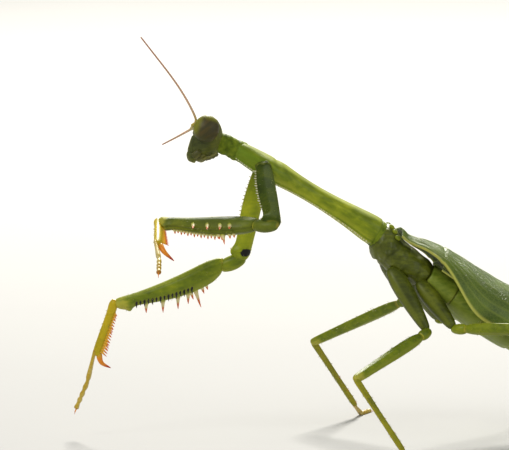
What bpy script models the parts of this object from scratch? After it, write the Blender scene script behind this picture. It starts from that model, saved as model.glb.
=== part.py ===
"""Praying mantis, adult female of a large green species, life size, standing on four legs.

The body faces -Y with +Z up and its left side towards +X. Places and sizes below are in
millimetres, and MM turns them into Blender's metres when a mesh is made. The origin ends up on
the floor under the middle of the model. Every sub-part is one closed solid, and where one is
carried by another it is cut back from it by CLEARANCE.
"""

from collections import namedtuple
from math import cos, pi, radians, sin

import bmesh
import bpy
from mathutils import Matrix, Vector

MM = 0.001
CLEARANCE = 0.3

# ---- driving dimensions, in millimetres ----
PRONOTUM_FRONT = Vector((0, -2.73, 40.3))
PRONOTUM_PITCH = 31.4  # degrees below the horizon, going backwards
PRONOTUM_LENGTH = 22.6
BACK_FRONT = Vector((0, 16.85, 28.3))  # where the wing-bearing thorax begins
BACK_PITCH = (38.0, 13.0)  # at the thorax and at the tip of the abdomen
THORAX_LENGTH = 8.5
ABDOMEN_LENGTH = 36.5
WING_THICKNESS = 0.5
WING_TIP = 46.6  # along the back from BACK_FRONT
HEAD_CENTRE = Vector((0, -6.6, 43.0))  # midway between the eyes
HEAD_YAW = 13.0  # degrees, to its own right
HEAD_PITCH = 20.0  # face tipped up
HEAD_ROLL = 9.0  # left eye higher
EYE_OFFSET = 2.75
EYE_RADII = (1.4, 1.8, 1.85)  # sideways, fore and aft, upright
ANTENNA_RADII = (0.34, 0.25)
ANTENNA_BASE = Vector((0.75, 1.95, -0.5))  # left, forward, up from the head's centre
ANTENNA_PATHS = {
    "l": ((1.0, -8.3, 44.7), (1.8, -10.9, 49.3), (2.5, -16.0, 56.0)),
    "r": ((-2.0, -8.4, 42.8), (-6.8, -9.5, 41.2), (-12.0, -10.8, 39.5)),
}

# The joints of each leg, from the body outwards. The left foreleg is swung out and lifted.
FORE_JOINTS = {
    "l": ((2.2, 0.8, 38.2), (12.8, 0.4, 31.4), (1.4, -13.4, 30.3), (8.6, -14.6, 28.7), (15.8, -15.6, 25.7)),
    "r": ((-2.2, 1.3, 37.3), (-4.2, -1.3, 24.7), (-6.4, -18.3, 18.9), (-7.5, -20.6, 12.0), (-9.0, -23.2, 3.9)),
}
TIBIA_TWIST = {"l": 32.0, "r": 0.0}  # degrees that the shin and its claw are turned about their own line
MID_JOINTS = {
    "l": ((2.4, 18.6, 22.8), (6.4, 21.6, 14.9), (17.0, 10.9, 11.0), (21.2, 16.5, 1.9), (26.0, 19.1, 0.0)),
    "r": ((-2.2, 17.9, 24.1), (-5.5, 21.2, 18.2), (-16.5, 10.8, 11.3), (-21.0, 17.3, 1.9), (-25.4, 20.2, 0.0)),
}
HIND_JOINTS = {
    "l": ((2.4, 22.6, 21.2), (5.6, 26.4, 15.8), (18.2, 39.4, 17.2), (22.2, 47.2, 1.9), (26.0, 53.0, 0.0)),
    "r": ((-2.4, 22.6, 21.2), (-5.6, 26.2, 15.6), (-18.6, 38.8, 16.8), (-22.8, 46.0, 1.9), (-27.2, 51.2, 0.0)),
}

# Profiles: (share of the length, half width, reach above, reach below)
PRONOTUM = (
    (-0.03, 1.3, 0.9, 0.9),
    (0.01, 1.9, 1.3, 1.25),
    (0.08, 2.2, 1.4, 1.4),
    (0.16, 2.7, 1.55, 1.55),
    (0.235, 3.2, 1.65, 1.65),
    (0.31, 2.8, 1.6, 1.55),
    (0.40, 2.15, 1.35, 1.35),
    (0.55, 1.8, 1.2, 1.2),
    (0.70, 1.9, 1.35, 1.35),
    (0.84, 2.2, 1.65, 1.6),
    (0.95, 2.35, 1.85, 1.95),
    (1.0, 2.3, 1.75, 1.9),
)
MESOTHORAX = (
    (0.0, 2.2, 1.65, 2.1),
    (0.12, 2.75, 2.15, 2.85),
    (0.22, 3.0, 1.9, 3.0),
    (0.32, 3.1, 1.4, 3.1),
    (0.51, 3.3, 1.4, 3.1),
)
METATHORAX = (
    (0.545, 3.3, 1.4, 3.1),
    (0.76, 3.4, 1.4, 3.0),
    (1.0, 3.2, 1.3, 2.5),
)
ABDOMEN = (
    (0.0, 3.0, 1.3, 2.3),
    (0.12, 4.0, 1.6, 2.9),
    (0.28, 4.8, 1.8, 3.2),
    (0.46, 5.0, 1.9, 3.2),
    (0.64, 4.4, 1.7, 2.8),
    (0.78, 3.5, 1.4, 2.3),
    (0.90, 2.4, 1.1, 1.6),
    (0.975, 1.4, 0.8, 1.0),
    (1.0, 0.8, 0.5, 0.6),
)
ABDOMEN_CUTS = (0.0, 0.11, 0.245, 0.385, 0.525, 0.66, 0.785, 0.89, 1.0)
FORE_COXA = (
    (0.0, 0.75, 0.9, 0.9),
    (0.12, 0.85, 1.2, 1.05),
    (0.35, 0.95, 1.5, 1.2),
    (0.65, 0.95, 1.45, 1.2),
    (0.86, 0.95, 1.2, 1.15),
    (0.97, 0.85, 0.95, 0.95),
    (1.0, 0.5, 0.6, 0.6),
)
FORE_TROCHANTER = (
    (-0.04, 0.5, 0.6, 0.6),
    (0.01, 0.85, 0.9, 1.05),
    (0.08, 1.0, 1.0, 1.4),
    (0.148, 0.8, 0.8, 1.2),
)
FORE_FEMUR = (
    (0.165, 0.75, 0.75, 1.2),
    (0.24, 1.05, 0.95, 1.75),
    (0.36, 1.22, 0.85, 2.15),
    (0.50, 1.18, 0.65, 2.2),
    (0.64, 1.0, 0.5, 1.95),
    (0.78, 0.8, 0.42, 1.45),
    (0.86, 0.68, 0.42, 1.25),
    (0.9, 0.72, 0.5, 1.6),
    (0.945, 0.72, 0.55, 1.1),
    (0.98, 0.55, 0.4, 0.65),
)
FORE_TIBIA = (
    (-0.02, 0.4, 0.4, 0.4),
    (0.06, 0.55, 0.6, 0.6),
    (0.2, 0.5, 0.6, 0.65),
    (0.6, 0.48, 0.55, 0.6),
    (0.88, 0.5, 0.6, 0.62),
    (1.0, 0.36, 0.45, 0.45),
)
WALK_COXA = (
    (0.0, 1.2, 1.6, 1.55),
    (0.3, 1.25, 1.5, 1.5),
    (0.6, 1.05, 1.15, 1.15),
    (0.86, 0.75, 0.85, 0.8),
    (0.96, 0.55, 0.6, 0.6),
)
WALK_TROCHANTER = (
    (-0.02, 0.5, 0.5, 0.5),
    (0.03, 0.72, 0.75, 0.75),
    (0.07, 0.72, 0.75, 0.75),
    (0.1, 0.5, 0.55, 0.55),
)
WALK_FEMUR = (
    (0.115, 0.5, 0.6, 0.6),
    (0.2, 0.64, 0.85, 0.85),
    (0.45, 0.62, 0.85, 0.85),
    (0.8, 0.52, 0.68, 0.68),
    (0.93, 0.52, 0.64, 0.66),
    (1.0, 0.5, 0.58, 0.58),
    (1.02, 0.3, 0.3, 0.3),
)
WALK_TIBIA = (
    (-0.01, 0.3, 0.3, 0.3),
    (0.03, 0.45, 0.48, 0.48),
    (0.1, 0.4, 0.43, 0.43),
    (0.6, 0.34, 0.37, 0.37),
    (0.93, 0.4, 0.43, 0.43),
    (1.0, 0.32, 0.34, 0.34),
)
TARSOMERES = (0.0, 0.44, 0.62, 0.75, 0.85, 1.0)  # joints along a foot, as shares of it
FOOT_RADII = (0.26, 0.34)  # at the waist and at the pad of each tarsomere

# Spines: (share along the segment, length)
EXTERNAL_SPINES = ((0.39, 1.1), (0.475, 1.3), (0.585, 1.3), (0.715, 1.1))
DISCOIDAL_SPINES = ((0.29, 0.7), (0.325, 0.9), (0.365, 2.2), (0.405, 0.8))
INTERNAL_SPINES = [(0.45 + 0.033 * i, 0.85 if i % 2 == 0 else 0.55) for i in range(13)]
TIBIAL_OUTER = [(0.3 + 0.075 * i, 0.45 + 0.05 * i) for i in range(8)]
TIBIAL_INNER = [(0.26 + 0.062 * i, 0.4 + 0.045 * i) for i in range(11)]
COXAL_TEETH = [(0.16 + 0.115 * i, 0.42) for i in range(7)]
COXAL_EDGE = 1.2  # how far the coxa's toothed front edge stands out from its middle line
SPINE_RADIUS = 0.17
TIBIAL_CLAW = 3.1

COLOURS = {
    "leaf_green": ((0.20, 0.34, 0.03), 0.42),
    "lit_green": ((0.36, 0.50, 0.05), 0.42),
    "wing_green": ((0.24, 0.40, 0.05), 0.38),
    "eye_olive": ((0.17, 0.15, 0.04), 0.18),
    "antenna_rose": ((0.42, 0.24, 0.14), 0.5),
    "mouth_cream": ((0.50, 0.47, 0.18), 0.45),
    "tarsus_yellow": ((0.48, 0.46, 0.10), 0.45),
    "belly_green": ((0.34, 0.44, 0.12), 0.5),
}

Section = namedtuple("Section", "centre side up wide high deep")
SECTIONS = {}  # what each lofted piece was made from, for the cutters that clear its neighbours


# ---- the scene and its collections ----
def clear_scene():
    for obj in list(bpy.data.objects):
        bpy.data.objects.remove(obj, do_unlink=True)


def new_collection(name):
    made = bpy.data.collections.new(name)
    bpy.context.scene.collection.children.link(made)
    return made


def make_material(name, colour, roughness):
    material = bpy.data.materials.new(name)
    material.use_nodes = True
    shader = material.node_tree.nodes["Principled BSDF"]
    shader.inputs["Base Color"].default_value = (*colour, 1.0)
    shader.inputs["Roughness"].default_value = roughness
    shader.inputs["Metallic"].default_value = 0.0
    return material


def add_object(name, mesh, colour):
    """A finished part, with a material of its own."""
    rgb, roughness = COLOURS[colour]
    mesh.materials.append(make_material(f"{name}_{colour}", rgb, roughness))
    obj = bpy.data.objects.new(name, mesh)
    PARTS.objects.link(obj)
    mesh.shade_smooth()
    mesh.set_sharp_from_angle(angle=radians(40))
    return obj


def add_cutter(name, mesh):
    obj = bpy.data.objects.new(name, mesh)
    CUTTERS.objects.link(obj)
    obj.hide_render = True
    obj.display_type = "WIRE"
    return obj


def boolean(obj, cutter, operation):
    step = obj.modifiers.new(f"{operation.lower()}_{cutter.name}", "BOOLEAN")
    step.operation = operation
    step.object = cutter


# ---- shapes ----
def smooth(x):
    """Eases from 0 to 1."""
    x = min(max(x, 0.0), 1.0)
    return x * x * (3 - 2 * x)


def blend_rows(rows, at):
    """The row of a profile at a share of its length, read along a smooth curve through its rows."""
    last = len(rows) - 1
    i = max(k for k in range(last) if rows[k][0] <= at or k == 0)
    before, a, b, after = (rows[min(max(k, 0), last)] for k in (i - 1, i, i + 1, i + 2))
    t = (at - a[0]) / (b[0] - a[0])

    def slope(p, q):
        return [(y - x) / max(q[0] - p[0], 1e-6) * (b[0] - a[0]) for x, y in zip(p, q)]

    start, end = slope(before, b), slope(a, after)
    h = (2 * t**3 - 3 * t**2 + 1, t**3 - 2 * t**2 + t, -2 * t**3 + 3 * t**2, t**3 - t**2)
    return [h[0] * p + h[1] * u + h[2] * q + h[3] * v for p, u, q, v in zip(a, start, b, end)][1:]


def section_ring(section, sides, grow=0.0):
    """An oval whose upper and lower halves may differ in reach."""
    ring = []
    for i in range(sides):
        turn = 2 * pi * (i + 0.5) / sides
        reach = section.high if sin(turn) > 0 else section.deep
        across = section.side * cos(turn) * (section.wide + grow)
        ring.append(section.centre + across + section.up * sin(turn) * (reach + grow))
    return ring


def rings_mesh(name, rings):
    """A closed skin over rings of equal count, capped at both ends."""
    bm = bmesh.new()
    loops = [[bm.verts.new(p * MM) for p in ring] for ring in rings]
    count = len(rings[0])
    for below, above in zip(loops, loops[1:]):
        for i in range(count):
            j = (i + 1) % count
            bm.faces.new((below[i], below[j], above[j], above[i]))
    bm.faces.new(reversed(loops[0]))
    bm.faces.new(loops[-1])
    bmesh.ops.recalc_face_normals(bm, faces=bm.faces)
    mesh = bpy.data.meshes.new(name)
    bm.to_mesh(mesh)
    bm.free()
    return mesh


def loft(name, sections, colour, sides=10):
    SECTIONS[name] = (sections, sides)
    return add_object(name, rings_mesh(name, [section_ring(s, sides) for s in sections]), colour)


def clear_of(obj, neighbour):
    """Cuts a part back from a lofted neighbour, leaving the clearance all round it."""
    sections, sides = SECTIONS[neighbour]
    rings = [section_ring(s, sides, CLEARANCE) for s in sections]
    for end, inner in ((0, 1), (-1, -2)):
        outwards = (sections[end].centre - sections[inner].centre).normalized() * CLEARANCE
        rings[end] = [p + outwards for p in rings[end]]
    name = f"room_for_{neighbour}_in_{obj.name}"
    boolean(obj, add_cutter(name, rings_mesh(name, rings)), "DIFFERENCE")


def limb_sections(start, end, belly, profile):
    """Sections along a straight segment; belly points to its underside."""
    axis = (end - start).normalized()
    side = axis.cross(belly).normalized()
    up = -(belly - axis * belly.dot(axis)).normalized()
    return [Section(start + (end - start) * share, side, up, *reach) for share, *reach in profile]


def cone_into(bm, base, tip, radius, sides):
    """Adds one spine: a cone from base to tip."""
    axis = tip - base
    turn = axis.to_track_quat("Z", "Y").to_matrix().to_4x4()
    place = Matrix.Translation((base + axis / 2) * MM) @ turn
    bmesh.ops.create_cone(
        bm, cap_ends=True, segments=sides, radius1=radius * MM, radius2=0.0, depth=axis.length * MM, matrix=place
    )


def grow_spines(obj, spines, sides=4, radius=SPINE_RADIUS):
    """Joins spines, given as pairs of base and tip, to the part that they grow from."""
    bm = bmesh.new()
    for base, tip in spines:
        cone_into(bm, base, tip, radius, sides)
    mesh = bpy.data.meshes.new(f"spines_of_{obj.name}")
    bm.to_mesh(mesh)
    bm.free()
    boolean(obj, add_cutter(mesh.name, mesh), "UNION")


# ---- the head ----
def head_frame():
    """Axes of the head: to its left, forward and up."""
    yaw = Matrix.Rotation(-radians(HEAD_YAW), 3, "Z")
    pitch = Matrix.Rotation(-radians(HEAD_PITCH), 3, "X")
    roll = Matrix.Rotation(-radians(HEAD_ROLL), 3, "Y")
    turn = yaw @ pitch @ roll
    return turn @ Vector((1, 0, 0)), turn @ Vector((0, -1, 0)), turn @ Vector((0, 0, 1))


def in_head(left, forward, up):
    axes = head_frame()
    return HEAD_CENTRE + axes[0] * left + axes[1] * forward + axes[2] * up


def head_sections(rows):
    """Level slices of the head from rows of height, half width, front and back."""
    left, forward, _ = head_frame()
    return [
        Section(in_head(0, (front + back) / 2, height), left, forward, wide, (front - back) / 2, (front - back) / 2)
        for height, wide, front, back in rows
    ]


def eye_mesh(name, side, grow=0.0):
    bm = bmesh.new()
    left, forward, up = head_frame()
    radii = [r + grow for r in EYE_RADII]
    bmesh.ops.create_uvsphere(bm, u_segments=14, v_segments=9, radius=MM)
    axes = Matrix((left * radii[0], forward * radii[1], up * radii[2])).transposed()
    if axes.determinant() < 0:
        bmesh.ops.reverse_faces(bm, faces=bm.faces)
    place = in_head(side * EYE_OFFSET, 0, 0) * MM
    bmesh.ops.transform(bm, matrix=Matrix.Translation(place) @ axes.to_4x4(), verts=bm.verts)
    mesh = bpy.data.meshes.new(name)
    bm.to_mesh(mesh)
    bm.free()
    return mesh


def make_head():
    capsule = (
        (-3.45, 1.05, 1.3, -1.2),
        (-3.2, 1.35, 1.4, -1.75),
        (-2.5, 1.7, 1.45, -2.35),
        (-1.5, 2.1, 1.45, -2.5),
        (-0.5, 2.6, 1.5, -2.5),
        (0.5, 2.9, 1.4, -2.15),
        (1.05, 2.75, 1.1, -1.6),
        (1.4, 2.3, 0.6, -1.1),
        (1.6, 1.6, 0.1, -0.7),
    )
    head = loft("head", head_sections(capsule), "leaf_green", sides=16)
    for tag, side in (("l", 1), ("r", -1)):
        add_object(f"eye_{tag}", eye_mesh(f"eye_{tag}", side), "eye_olive")
        socket = eye_mesh(f"socket_{tag}", side, CLEARANCE)
        boolean(head, add_cutter(socket.name, socket), "DIFFERENCE")


def make_mouth():
    labrum = ((-4.85, 0.4, 0.7, 0.1), (-4.65, 0.7, 1.0, 0.05), (-4.25, 0.95, 1.3, 0.0), (-3.76, 1.05, 1.35, 0.0))
    mandibles = ((-4.45, 0.55, -0.3, -0.7), (-4.2, 0.9, -0.3, -1.05), (-3.76, 1.1, -0.3, -1.3))
    loft("labrum", head_sections(labrum), "mouth_cream", sides=10)
    loft("mandibles", head_sections(mandibles), "mouth_cream", sides=10)
    path = ((0.8, -1.0, -4.0), (1.5, -1.5, -3.65), (1.85, -2.1, -3.15), (1.7, -2.6, -2.5))
    for tag, side in (("l", 1), ("r", -1)):
        points = [in_head(side * left, forward, up) for left, forward, up in path]
        tube(f"palp_{tag}", points, (0.28, 0.25), "mouth_cream", sides=6)
    for tag in ("l", "r"):
        palp = PARTS.objects[f"palp_{tag}"]
        clear_of(palp, "head")
        clear_of(palp, "mandibles")


def tube(name, points, radii, colour, sides=8):
    """A round tapering tube through a few points."""
    side = (points[1] - points[0]).orthogonal().normalized()
    made = []
    for i, point in enumerate(points):
        along = (points[min(i + 1, len(points) - 1)] - points[max(i - 1, 0)]).normalized()
        side = (side - along * side.dot(along)).normalized()
        radius = radii[0] + (radii[1] - radii[0]) * i / (len(points) - 1)
        made.append(Section(point, side, along.cross(side), radius, radius, radius))
    return loft(name, made, colour, sides)


def make_antennae():
    """The left one rises ahead of the face, and the right one reaches out to the side."""
    for tag, side in (("l", 1), ("r", -1)):
        base = in_head(side * ANTENNA_BASE.x, ANTENNA_BASE.y, ANTENNA_BASE.z)
        bends = [base] + points_of(ANTENNA_PATHS[tag])
        points = [curve_point(bends, i / 12) for i in range(13)]
        tube(f"antenna_{tag}", points, ANTENNA_RADII, "antenna_rose", sides=6)


def curve_point(bends, share):
    """A point on a smooth curve through the bends."""
    rows = [(i / (len(bends) - 1), *bend) for i, bend in enumerate(bends)]
    return Vector(blend_rows(rows, min(share, 0.9999)))


# ---- the trunk ----
def pronotum_sections():
    pitch = radians(PRONOTUM_PITCH)
    along, up = Vector((0, cos(pitch), -sin(pitch))), Vector((0, sin(pitch), cos(pitch)))
    return [
        Section(PRONOTUM_FRONT + along * PRONOTUM_LENGTH * share, Vector((1, 0, 0)), up, wide, high, deep)
        for share, wide, high, deep in PRONOTUM
    ]


def back_frame(distance):
    """Place, direction and upright of the line that runs through the thorax and abdomen."""
    place, walked, step = BACK_FRONT.copy(), 0.0, 0.25
    while True:
        bend = smooth((walked - THORAX_LENGTH * 0.7) / ABDOMEN_LENGTH)
        pitch = radians(BACK_PITCH[0] + (BACK_PITCH[1] - BACK_PITCH[0]) * bend)
        along, up = Vector((0, cos(pitch), -sin(pitch))), Vector((0, sin(pitch), cos(pitch)))
        if walked >= distance:
            return place, along, up
        move = min(step, distance - walked)
        place += along * move
        walked += move


def back_section(distance, wide, high, deep):
    place, _, up = back_frame(distance)
    return Section(place, Vector((1, 0, 0)), up, wide, high, deep)


def thorax_sections(profile):
    return [back_section(THORAX_LENGTH * share, *reach) for share, *reach in profile]


def make_neck():
    front, back = in_head(0, -1.7, -0.95), PRONOTUM_FRONT + Vector((0, 0.5, -0.3))
    profile = ((0.0, 1.3, 1.2, 1.3), (0.3, 1.45, 1.3, 1.45), (0.6, 1.5, 1.25, 1.45), (1.0, 1.6, 1.2, 1.35))
    neck = loft("neck", limb_sections(front, back, Vector((0, 0, -1)), profile), "belly_green", sides=12)
    clear_of(neck, "head")
    clear_of(neck, "prothorax")


def make_trunk():
    loft("prothorax", pronotum_sections(), "lit_green", sides=14)
    loft("mesothorax", thorax_sections(MESOTHORAX), "leaf_green", sides=14)
    loft("metathorax", thorax_sections(METATHORAX), "leaf_green", sides=14)
    clear_of(PARTS.objects["mesothorax"], "prothorax")


def make_abdomen():
    """Overlapping rings: each is a little fuller at its rear edge than where the next begins."""
    start = THORAX_LENGTH + CLEARANCE
    last = len(ABDOMEN_CUTS) - 2
    for i in range(last + 1):
        a, b = ABDOMEN_CUTS[i], ABDOMEN_CUTS[i + 1]
        gap = CLEARANCE / ABDOMEN_LENGTH
        sections = []
        for share, fuller in ((a, 0.0), (a + 0.3 * (b - a), 0.05), (b - 0.012, 0.1), (b - gap, 0.02)):
            wide, high, deep = (r + fuller for r in blend_rows(ABDOMEN, min(share, 0.999)))
            sections.append(back_section(start + ABDOMEN_LENGTH * share, wide, high, deep))
        name = f"abdomen_{i + 1}" if i < last else "abdomen_tip"
        loft(name, sections, "belly_green" if i < last else "leaf_green", sides=14)


def make_cerci():
    for tag, side in (("l", 1), ("r", -1)):
        place, along, up = back_frame(THORAX_LENGTH + ABDOMEN_LENGTH * 0.93)
        out = Vector((side, 0, 0))
        root = place + out * 1.1 + up * 0.1
        profile = ((0.0, 0.3, 0.3, 0.3), (0.3, 0.38, 0.34, 0.34), (0.8, 0.34, 0.3, 0.3), (1.0, 0.25, 0.25, 0.25))
        end = root + out * 2.0 + along * 4.0
        cercus = loft(f"cercus_{tag}", limb_sections(root, end, -up, profile), "mouth_cream", sides=6)
        clear_of(cercus, "abdomen_tip")
        clear_of(cercus, "abdomen_7")


# ---- the wings ----
def wing_cover(distance):
    """Half width and height of the body under the wings."""
    share = (distance - THORAX_LENGTH) / ABDOMEN_LENGTH
    if share >= 0:
        wide, high, _ = blend_rows(ABDOMEN, min(share, 0.9))
        return wide + 0.12, high + 0.12
    wide, high, _ = blend_rows(MESOTHORAX + METATHORAX, max(distance / THORAX_LENGTH, 0.3))
    return max(wide, 3.3), high


def wing_band(distance, start, end, lift, count):
    """A strip of the arch over the back, from one turn to another in degrees, lifted off the body."""
    place, _, up = back_frame(distance)
    wide, high = wing_cover(distance)
    arcs = []
    for level in (lift, lift + WING_THICKNESS):
        turns = [radians(start + (end - start) * i / (count - 1)) for i in range(count)]
        arcs.append([place + Vector((cos(t) * (wide + level), 0, 0)) + up * sin(t) * (high + level) for t in turns])
    return arcs[0] + arcs[1][::-1]


def wing(name, side, reach, turns, lift, count, steps):
    """One folded wing. Turns gives its outer and inner edge along its length, from 0 to 1."""
    rings = []
    for i in range(steps + 1):
        share = i / steps * (1.2 - 0.2 * i / steps)  # closer together towards the rounded tip
        distance = reach[0] + (reach[1] - reach[0]) * share
        outer, inner = turns(share)
        band = wing_band(distance, outer, inner, lift(distance), count)
        rings.append([Vector((p.x * side, p.y, p.z)) for p in band])
    add_object(name, rings_mesh(name, rings), "wing_green")


def make_wings():
    """The left forewing lies over the right one, and the folded hindwings lie under both."""
    over_fan, over_right = WING_THICKNESS + CLEARANCE, WING_THICKNESS + CLEARANCE

    def right_lift(distance):
        return CLEARANCE + 0.05 + over_fan * smooth((distance - 5.0) / 4.0)

    def left_lift(distance):
        return right_lift(distance) + over_right * smooth((distance - 3.2) / 2.8)

    def tegmen_turns(share):
        tip = max(0.0, (share - 0.68) / 0.32) ** 2
        outer = -14 + 56 * (1 - smooth((share - 0.08) / 0.26)) + 86 * tip
        inner = 84 + 32 * smooth((share - 0.06) / 0.14) - 18 * tip
        return outer, inner

    def fan_turns(share):
        tip = max(0.0, (share - 0.6) / 0.4) ** 2
        return 30 + 38 * tip, 87

    wing("tegmen_l", 1, (2.2, WING_TIP), tegmen_turns, left_lift, 7, 14)
    wing("tegmen_r", -1, (2.2, WING_TIP), tegmen_turns, right_lift, 7, 14)
    for tag, side in (("l", 1), ("r", -1)):
        reach = (9.4, WING_TIP + 1.2)
        wing(f"hindwing_{tag}", side, reach, fan_turns, lambda distance: CLEARANCE + 0.05, 4, 9)


# ---- the legs ----
def points_of(joints):
    return [Vector(p) for p in joints]


def underside(axis, towards):
    """The direction of a segment's underside: square to it, on the side that the next one folds to."""
    axis = axis.normalized()
    return (towards - axis * towards.dot(axis)).normalized()


def spine_row(start, end, belly, profile, rows, outwards, lean=0.0, tilt=0.35):
    """Bases and tips of a row of spines along one edge of a segment's underside."""
    axis = (end - start).normalized()
    pairs = []
    for share, length in rows:
        wide, _, deep = blend_rows(profile, share)
        base = start + (end - start) * share + outwards * wide * 0.55 + belly * (deep * 0.72)
        aim = (belly + outwards * tilt + axis * lean).normalized()
        pairs.append((base, base + aim * (length + deep * 0.2)))
    return pairs


def make_foreleg(tag, joints):
    root, hip, knee, wrist, toe = points_of(joints)
    outwards = 1 if tag == "l" else -1
    thigh, shin = knee - hip, wrist - knee
    twist = Matrix.Rotation(-radians(TIBIA_TWIST[tag]), 3, shin)
    thigh_belly, shin_belly = underside(thigh, shin), twist @ underside(shin, -thigh)
    coxa_front = underside(hip - root, Vector((0, -1, 0.2)))
    outer = thigh.normalized().cross(thigh_belly) * outwards

    coxa = loft(f"fore_coxa_{tag}", limb_sections(root, hip, -coxa_front, FORE_COXA), "lit_green", sides=10)
    teeth = []
    for share, length in COXAL_TEETH:
        base = root + (hip - root) * share + coxa_front * (COXAL_EDGE - 0.35)
        teeth.append((base, base + coxa_front * (length + 0.55)))
    grow_spines(coxa, teeth)
    clear_of(coxa, "prothorax")

    trochanter = limb_sections(hip, knee, thigh_belly, FORE_TROCHANTER)
    clear_of(loft(f"fore_trochanter_{tag}", trochanter, "leaf_green", sides=10), f"fore_coxa_{tag}")

    femur = loft(f"fore_femur_{tag}", limb_sections(hip, knee, thigh_belly, FORE_FEMUR), "leaf_green", sides=12)
    spines = spine_row(hip, knee, thigh_belly, FORE_FEMUR, EXTERNAL_SPINES, outer, lean=0.4)
    spines += spine_row(hip, knee, thigh_belly, FORE_FEMUR, DISCOIDAL_SPINES, outer * 0.15, lean=-0.3, tilt=0.0)
    spines += spine_row(hip, knee, thigh_belly, FORE_FEMUR, INTERNAL_SPINES, -outer, lean=0.4, tilt=0.5)
    grow_spines(femur, spines)

    tibia = loft(f"fore_tibia_{tag}", limb_sections(knee, wrist, shin_belly, FORE_TIBIA), "lit_green", sides=8)
    shin_outer = shin.normalized().cross(shin_belly) * outwards
    spines = spine_row(knee, wrist, shin_belly, FORE_TIBIA, TIBIAL_OUTER, shin_outer, lean=0.45)
    spines += spine_row(knee, wrist, shin_belly, FORE_TIBIA, TIBIAL_INNER, -shin_outer, lean=0.45)
    grow_spines(tibia, spines, radius=0.13)
    claw_base = wrist - shin.normalized() * 0.35 + shin_belly * 0.1
    claw_bend = claw_base + (shin.normalized() * 0.9 + shin_belly * 0.6) * TIBIAL_CLAW * 0.5
    claw_tip = claw_bend + (shin.normalized() * 0.25 + shin_belly * 1.1) * TIBIAL_CLAW * 0.5
    bends = [claw_base, claw_bend, claw_tip]
    rings = claw_rings([curve_point(bends, i / 4) for i in range(5)], (0.42, 0.36, 0.28, 0.18, 0.07))
    boolean(tibia, add_cutter(f"claw_of_{tibia.name}", rings_mesh(f"claw_of_{tibia.name}", rings)), "UNION")
    clear_of(tibia, f"fore_femur_{tag}")

    heel = wrist - shin_outer * 0.1 - shin_belly * 0.3
    make_foot(f"fore_tarsus_{tag}", heel, (heel + toe) / 2 + shin_belly * 0.35, toe, thigh_belly)
    clear_of(PARTS.objects[f"fore_tarsus_{tag}"], f"fore_tibia_{tag}")


def claw_rings(points, radii):
    side = (points[-1] - points[0]).orthogonal().normalized()
    rings = []
    for i, (point, radius) in enumerate(zip(points, radii)):
        along = (points[min(i + 1, len(points) - 1)] - points[max(i - 1, 0)]).normalized()
        side = (side - along * side.dot(along)).normalized()
        rings.append(section_ring(Section(point, side, along.cross(side), radius, radius, radius), 6))
    return rings


def make_foot(name, heel, middle, toe, belly):
    """Five tarsomeres, each swelling to a pad, with a pair of claws at the end."""
    waist, pad = FOOT_RADII
    length = (middle - heel).length + (toe - middle).length
    turn = (middle - heel).length / length

    def along(share):
        a, b, t = (heel, middle, share / turn) if share < turn else (middle, toe, (share - turn) / (1 - turn))
        return a + (b - a) * t

    sections = []
    for a, b in zip(TARSOMERES, TARSOMERES[1:]):
        for share, radius in ((a + 0.02, waist), (b - 0.05, pad), (b, pad * 0.9)):
            centre = along(min(share, 1.0))
            axis = (middle - heel if share < turn else toe - middle).normalized()
            side = axis.cross(belly).normalized()
            sections.append(Section(centre, side, side.cross(axis), radius, radius, radius))
    foot = loft(name, sections, "tarsus_yellow", sides=6)
    axis = (toe - middle).normalized()
    side = axis.cross(belly).normalized()
    up = side.cross(axis)
    claws = [(toe - axis * 0.25 + up * 0.08, toe + axis * 0.6 + side * 0.45 * s + up * 0.02) for s in (1, -1)]
    grow_spines(foot, claws, radius=0.14)
    return foot


def make_walking_leg(kind, tag, joints):
    root, hip, knee, ankle, toe = points_of(joints)
    down = Vector((0, 0, -1))
    carriers = {"mid": ("mesothorax", "metathorax"), "hind": ("metathorax", "abdomen_1")}[kind]
    belly = underside(knee - hip, ankle - knee)
    shin_belly = underside(ankle - knee, hip - knee)
    coxa = limb_sections(root, hip, underside(hip - root, down + Vector((0, 1, 0))), WALK_COXA)
    coxa = loft(f"{kind}_coxa_{tag}", coxa, "leaf_green", sides=10)
    for carrier in carriers:
        clear_of(coxa, carrier)
    trochanter = limb_sections(hip, knee, belly, WALK_TROCHANTER)
    clear_of(loft(f"{kind}_trochanter_{tag}", trochanter, "leaf_green", sides=8), f"{kind}_coxa_{tag}")
    loft(f"{kind}_femur_{tag}", limb_sections(hip, knee, belly, WALK_FEMUR), "lit_green", sides=8)
    tibia = loft(f"{kind}_tibia_{tag}", limb_sections(knee, ankle, shin_belly, WALK_TIBIA), "lit_green", sides=8)
    clear_of(tibia, f"{kind}_femur_{tag}")
    make_standing_foot(kind, tag, ankle, toe)


def make_standing_foot(kind, tag, ankle, toe):
    """The first tarsomere slants down from the ankle, and the rest lies on the floor on its pads."""
    rest_height = FOOT_RADII[1] * 0.72
    level = Vector((toe.x - ankle.x, toe.y - ankle.y, 0))
    heel = ankle + level.normalized() * 0.25 - Vector((0, 0, 0.35))
    middle = Vector((ankle.x, ankle.y, 0)) + level * TARSOMERES[1] + Vector((0, 0, rest_height))
    toe = Vector((toe.x, toe.y, rest_height))
    foot = make_foot(f"{kind}_tarsus_{tag}", heel, middle, toe, Vector((0, 0, -1)))
    clear_of(foot, f"{kind}_tibia_{tag}")
    size = 30 * MM
    floor = bmesh.new()
    bmesh.ops.create_cube(floor, size=size)
    bmesh.ops.translate(floor, vec=Vector((toe.x * MM, toe.y * MM, -size / 2)), verts=floor.verts)
    mesh = bpy.data.meshes.new(f"floor_under_{foot.name}")
    floor.to_mesh(mesh)
    floor.free()
    boolean(foot, add_cutter(mesh.name, mesh), "DIFFERENCE")


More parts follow.
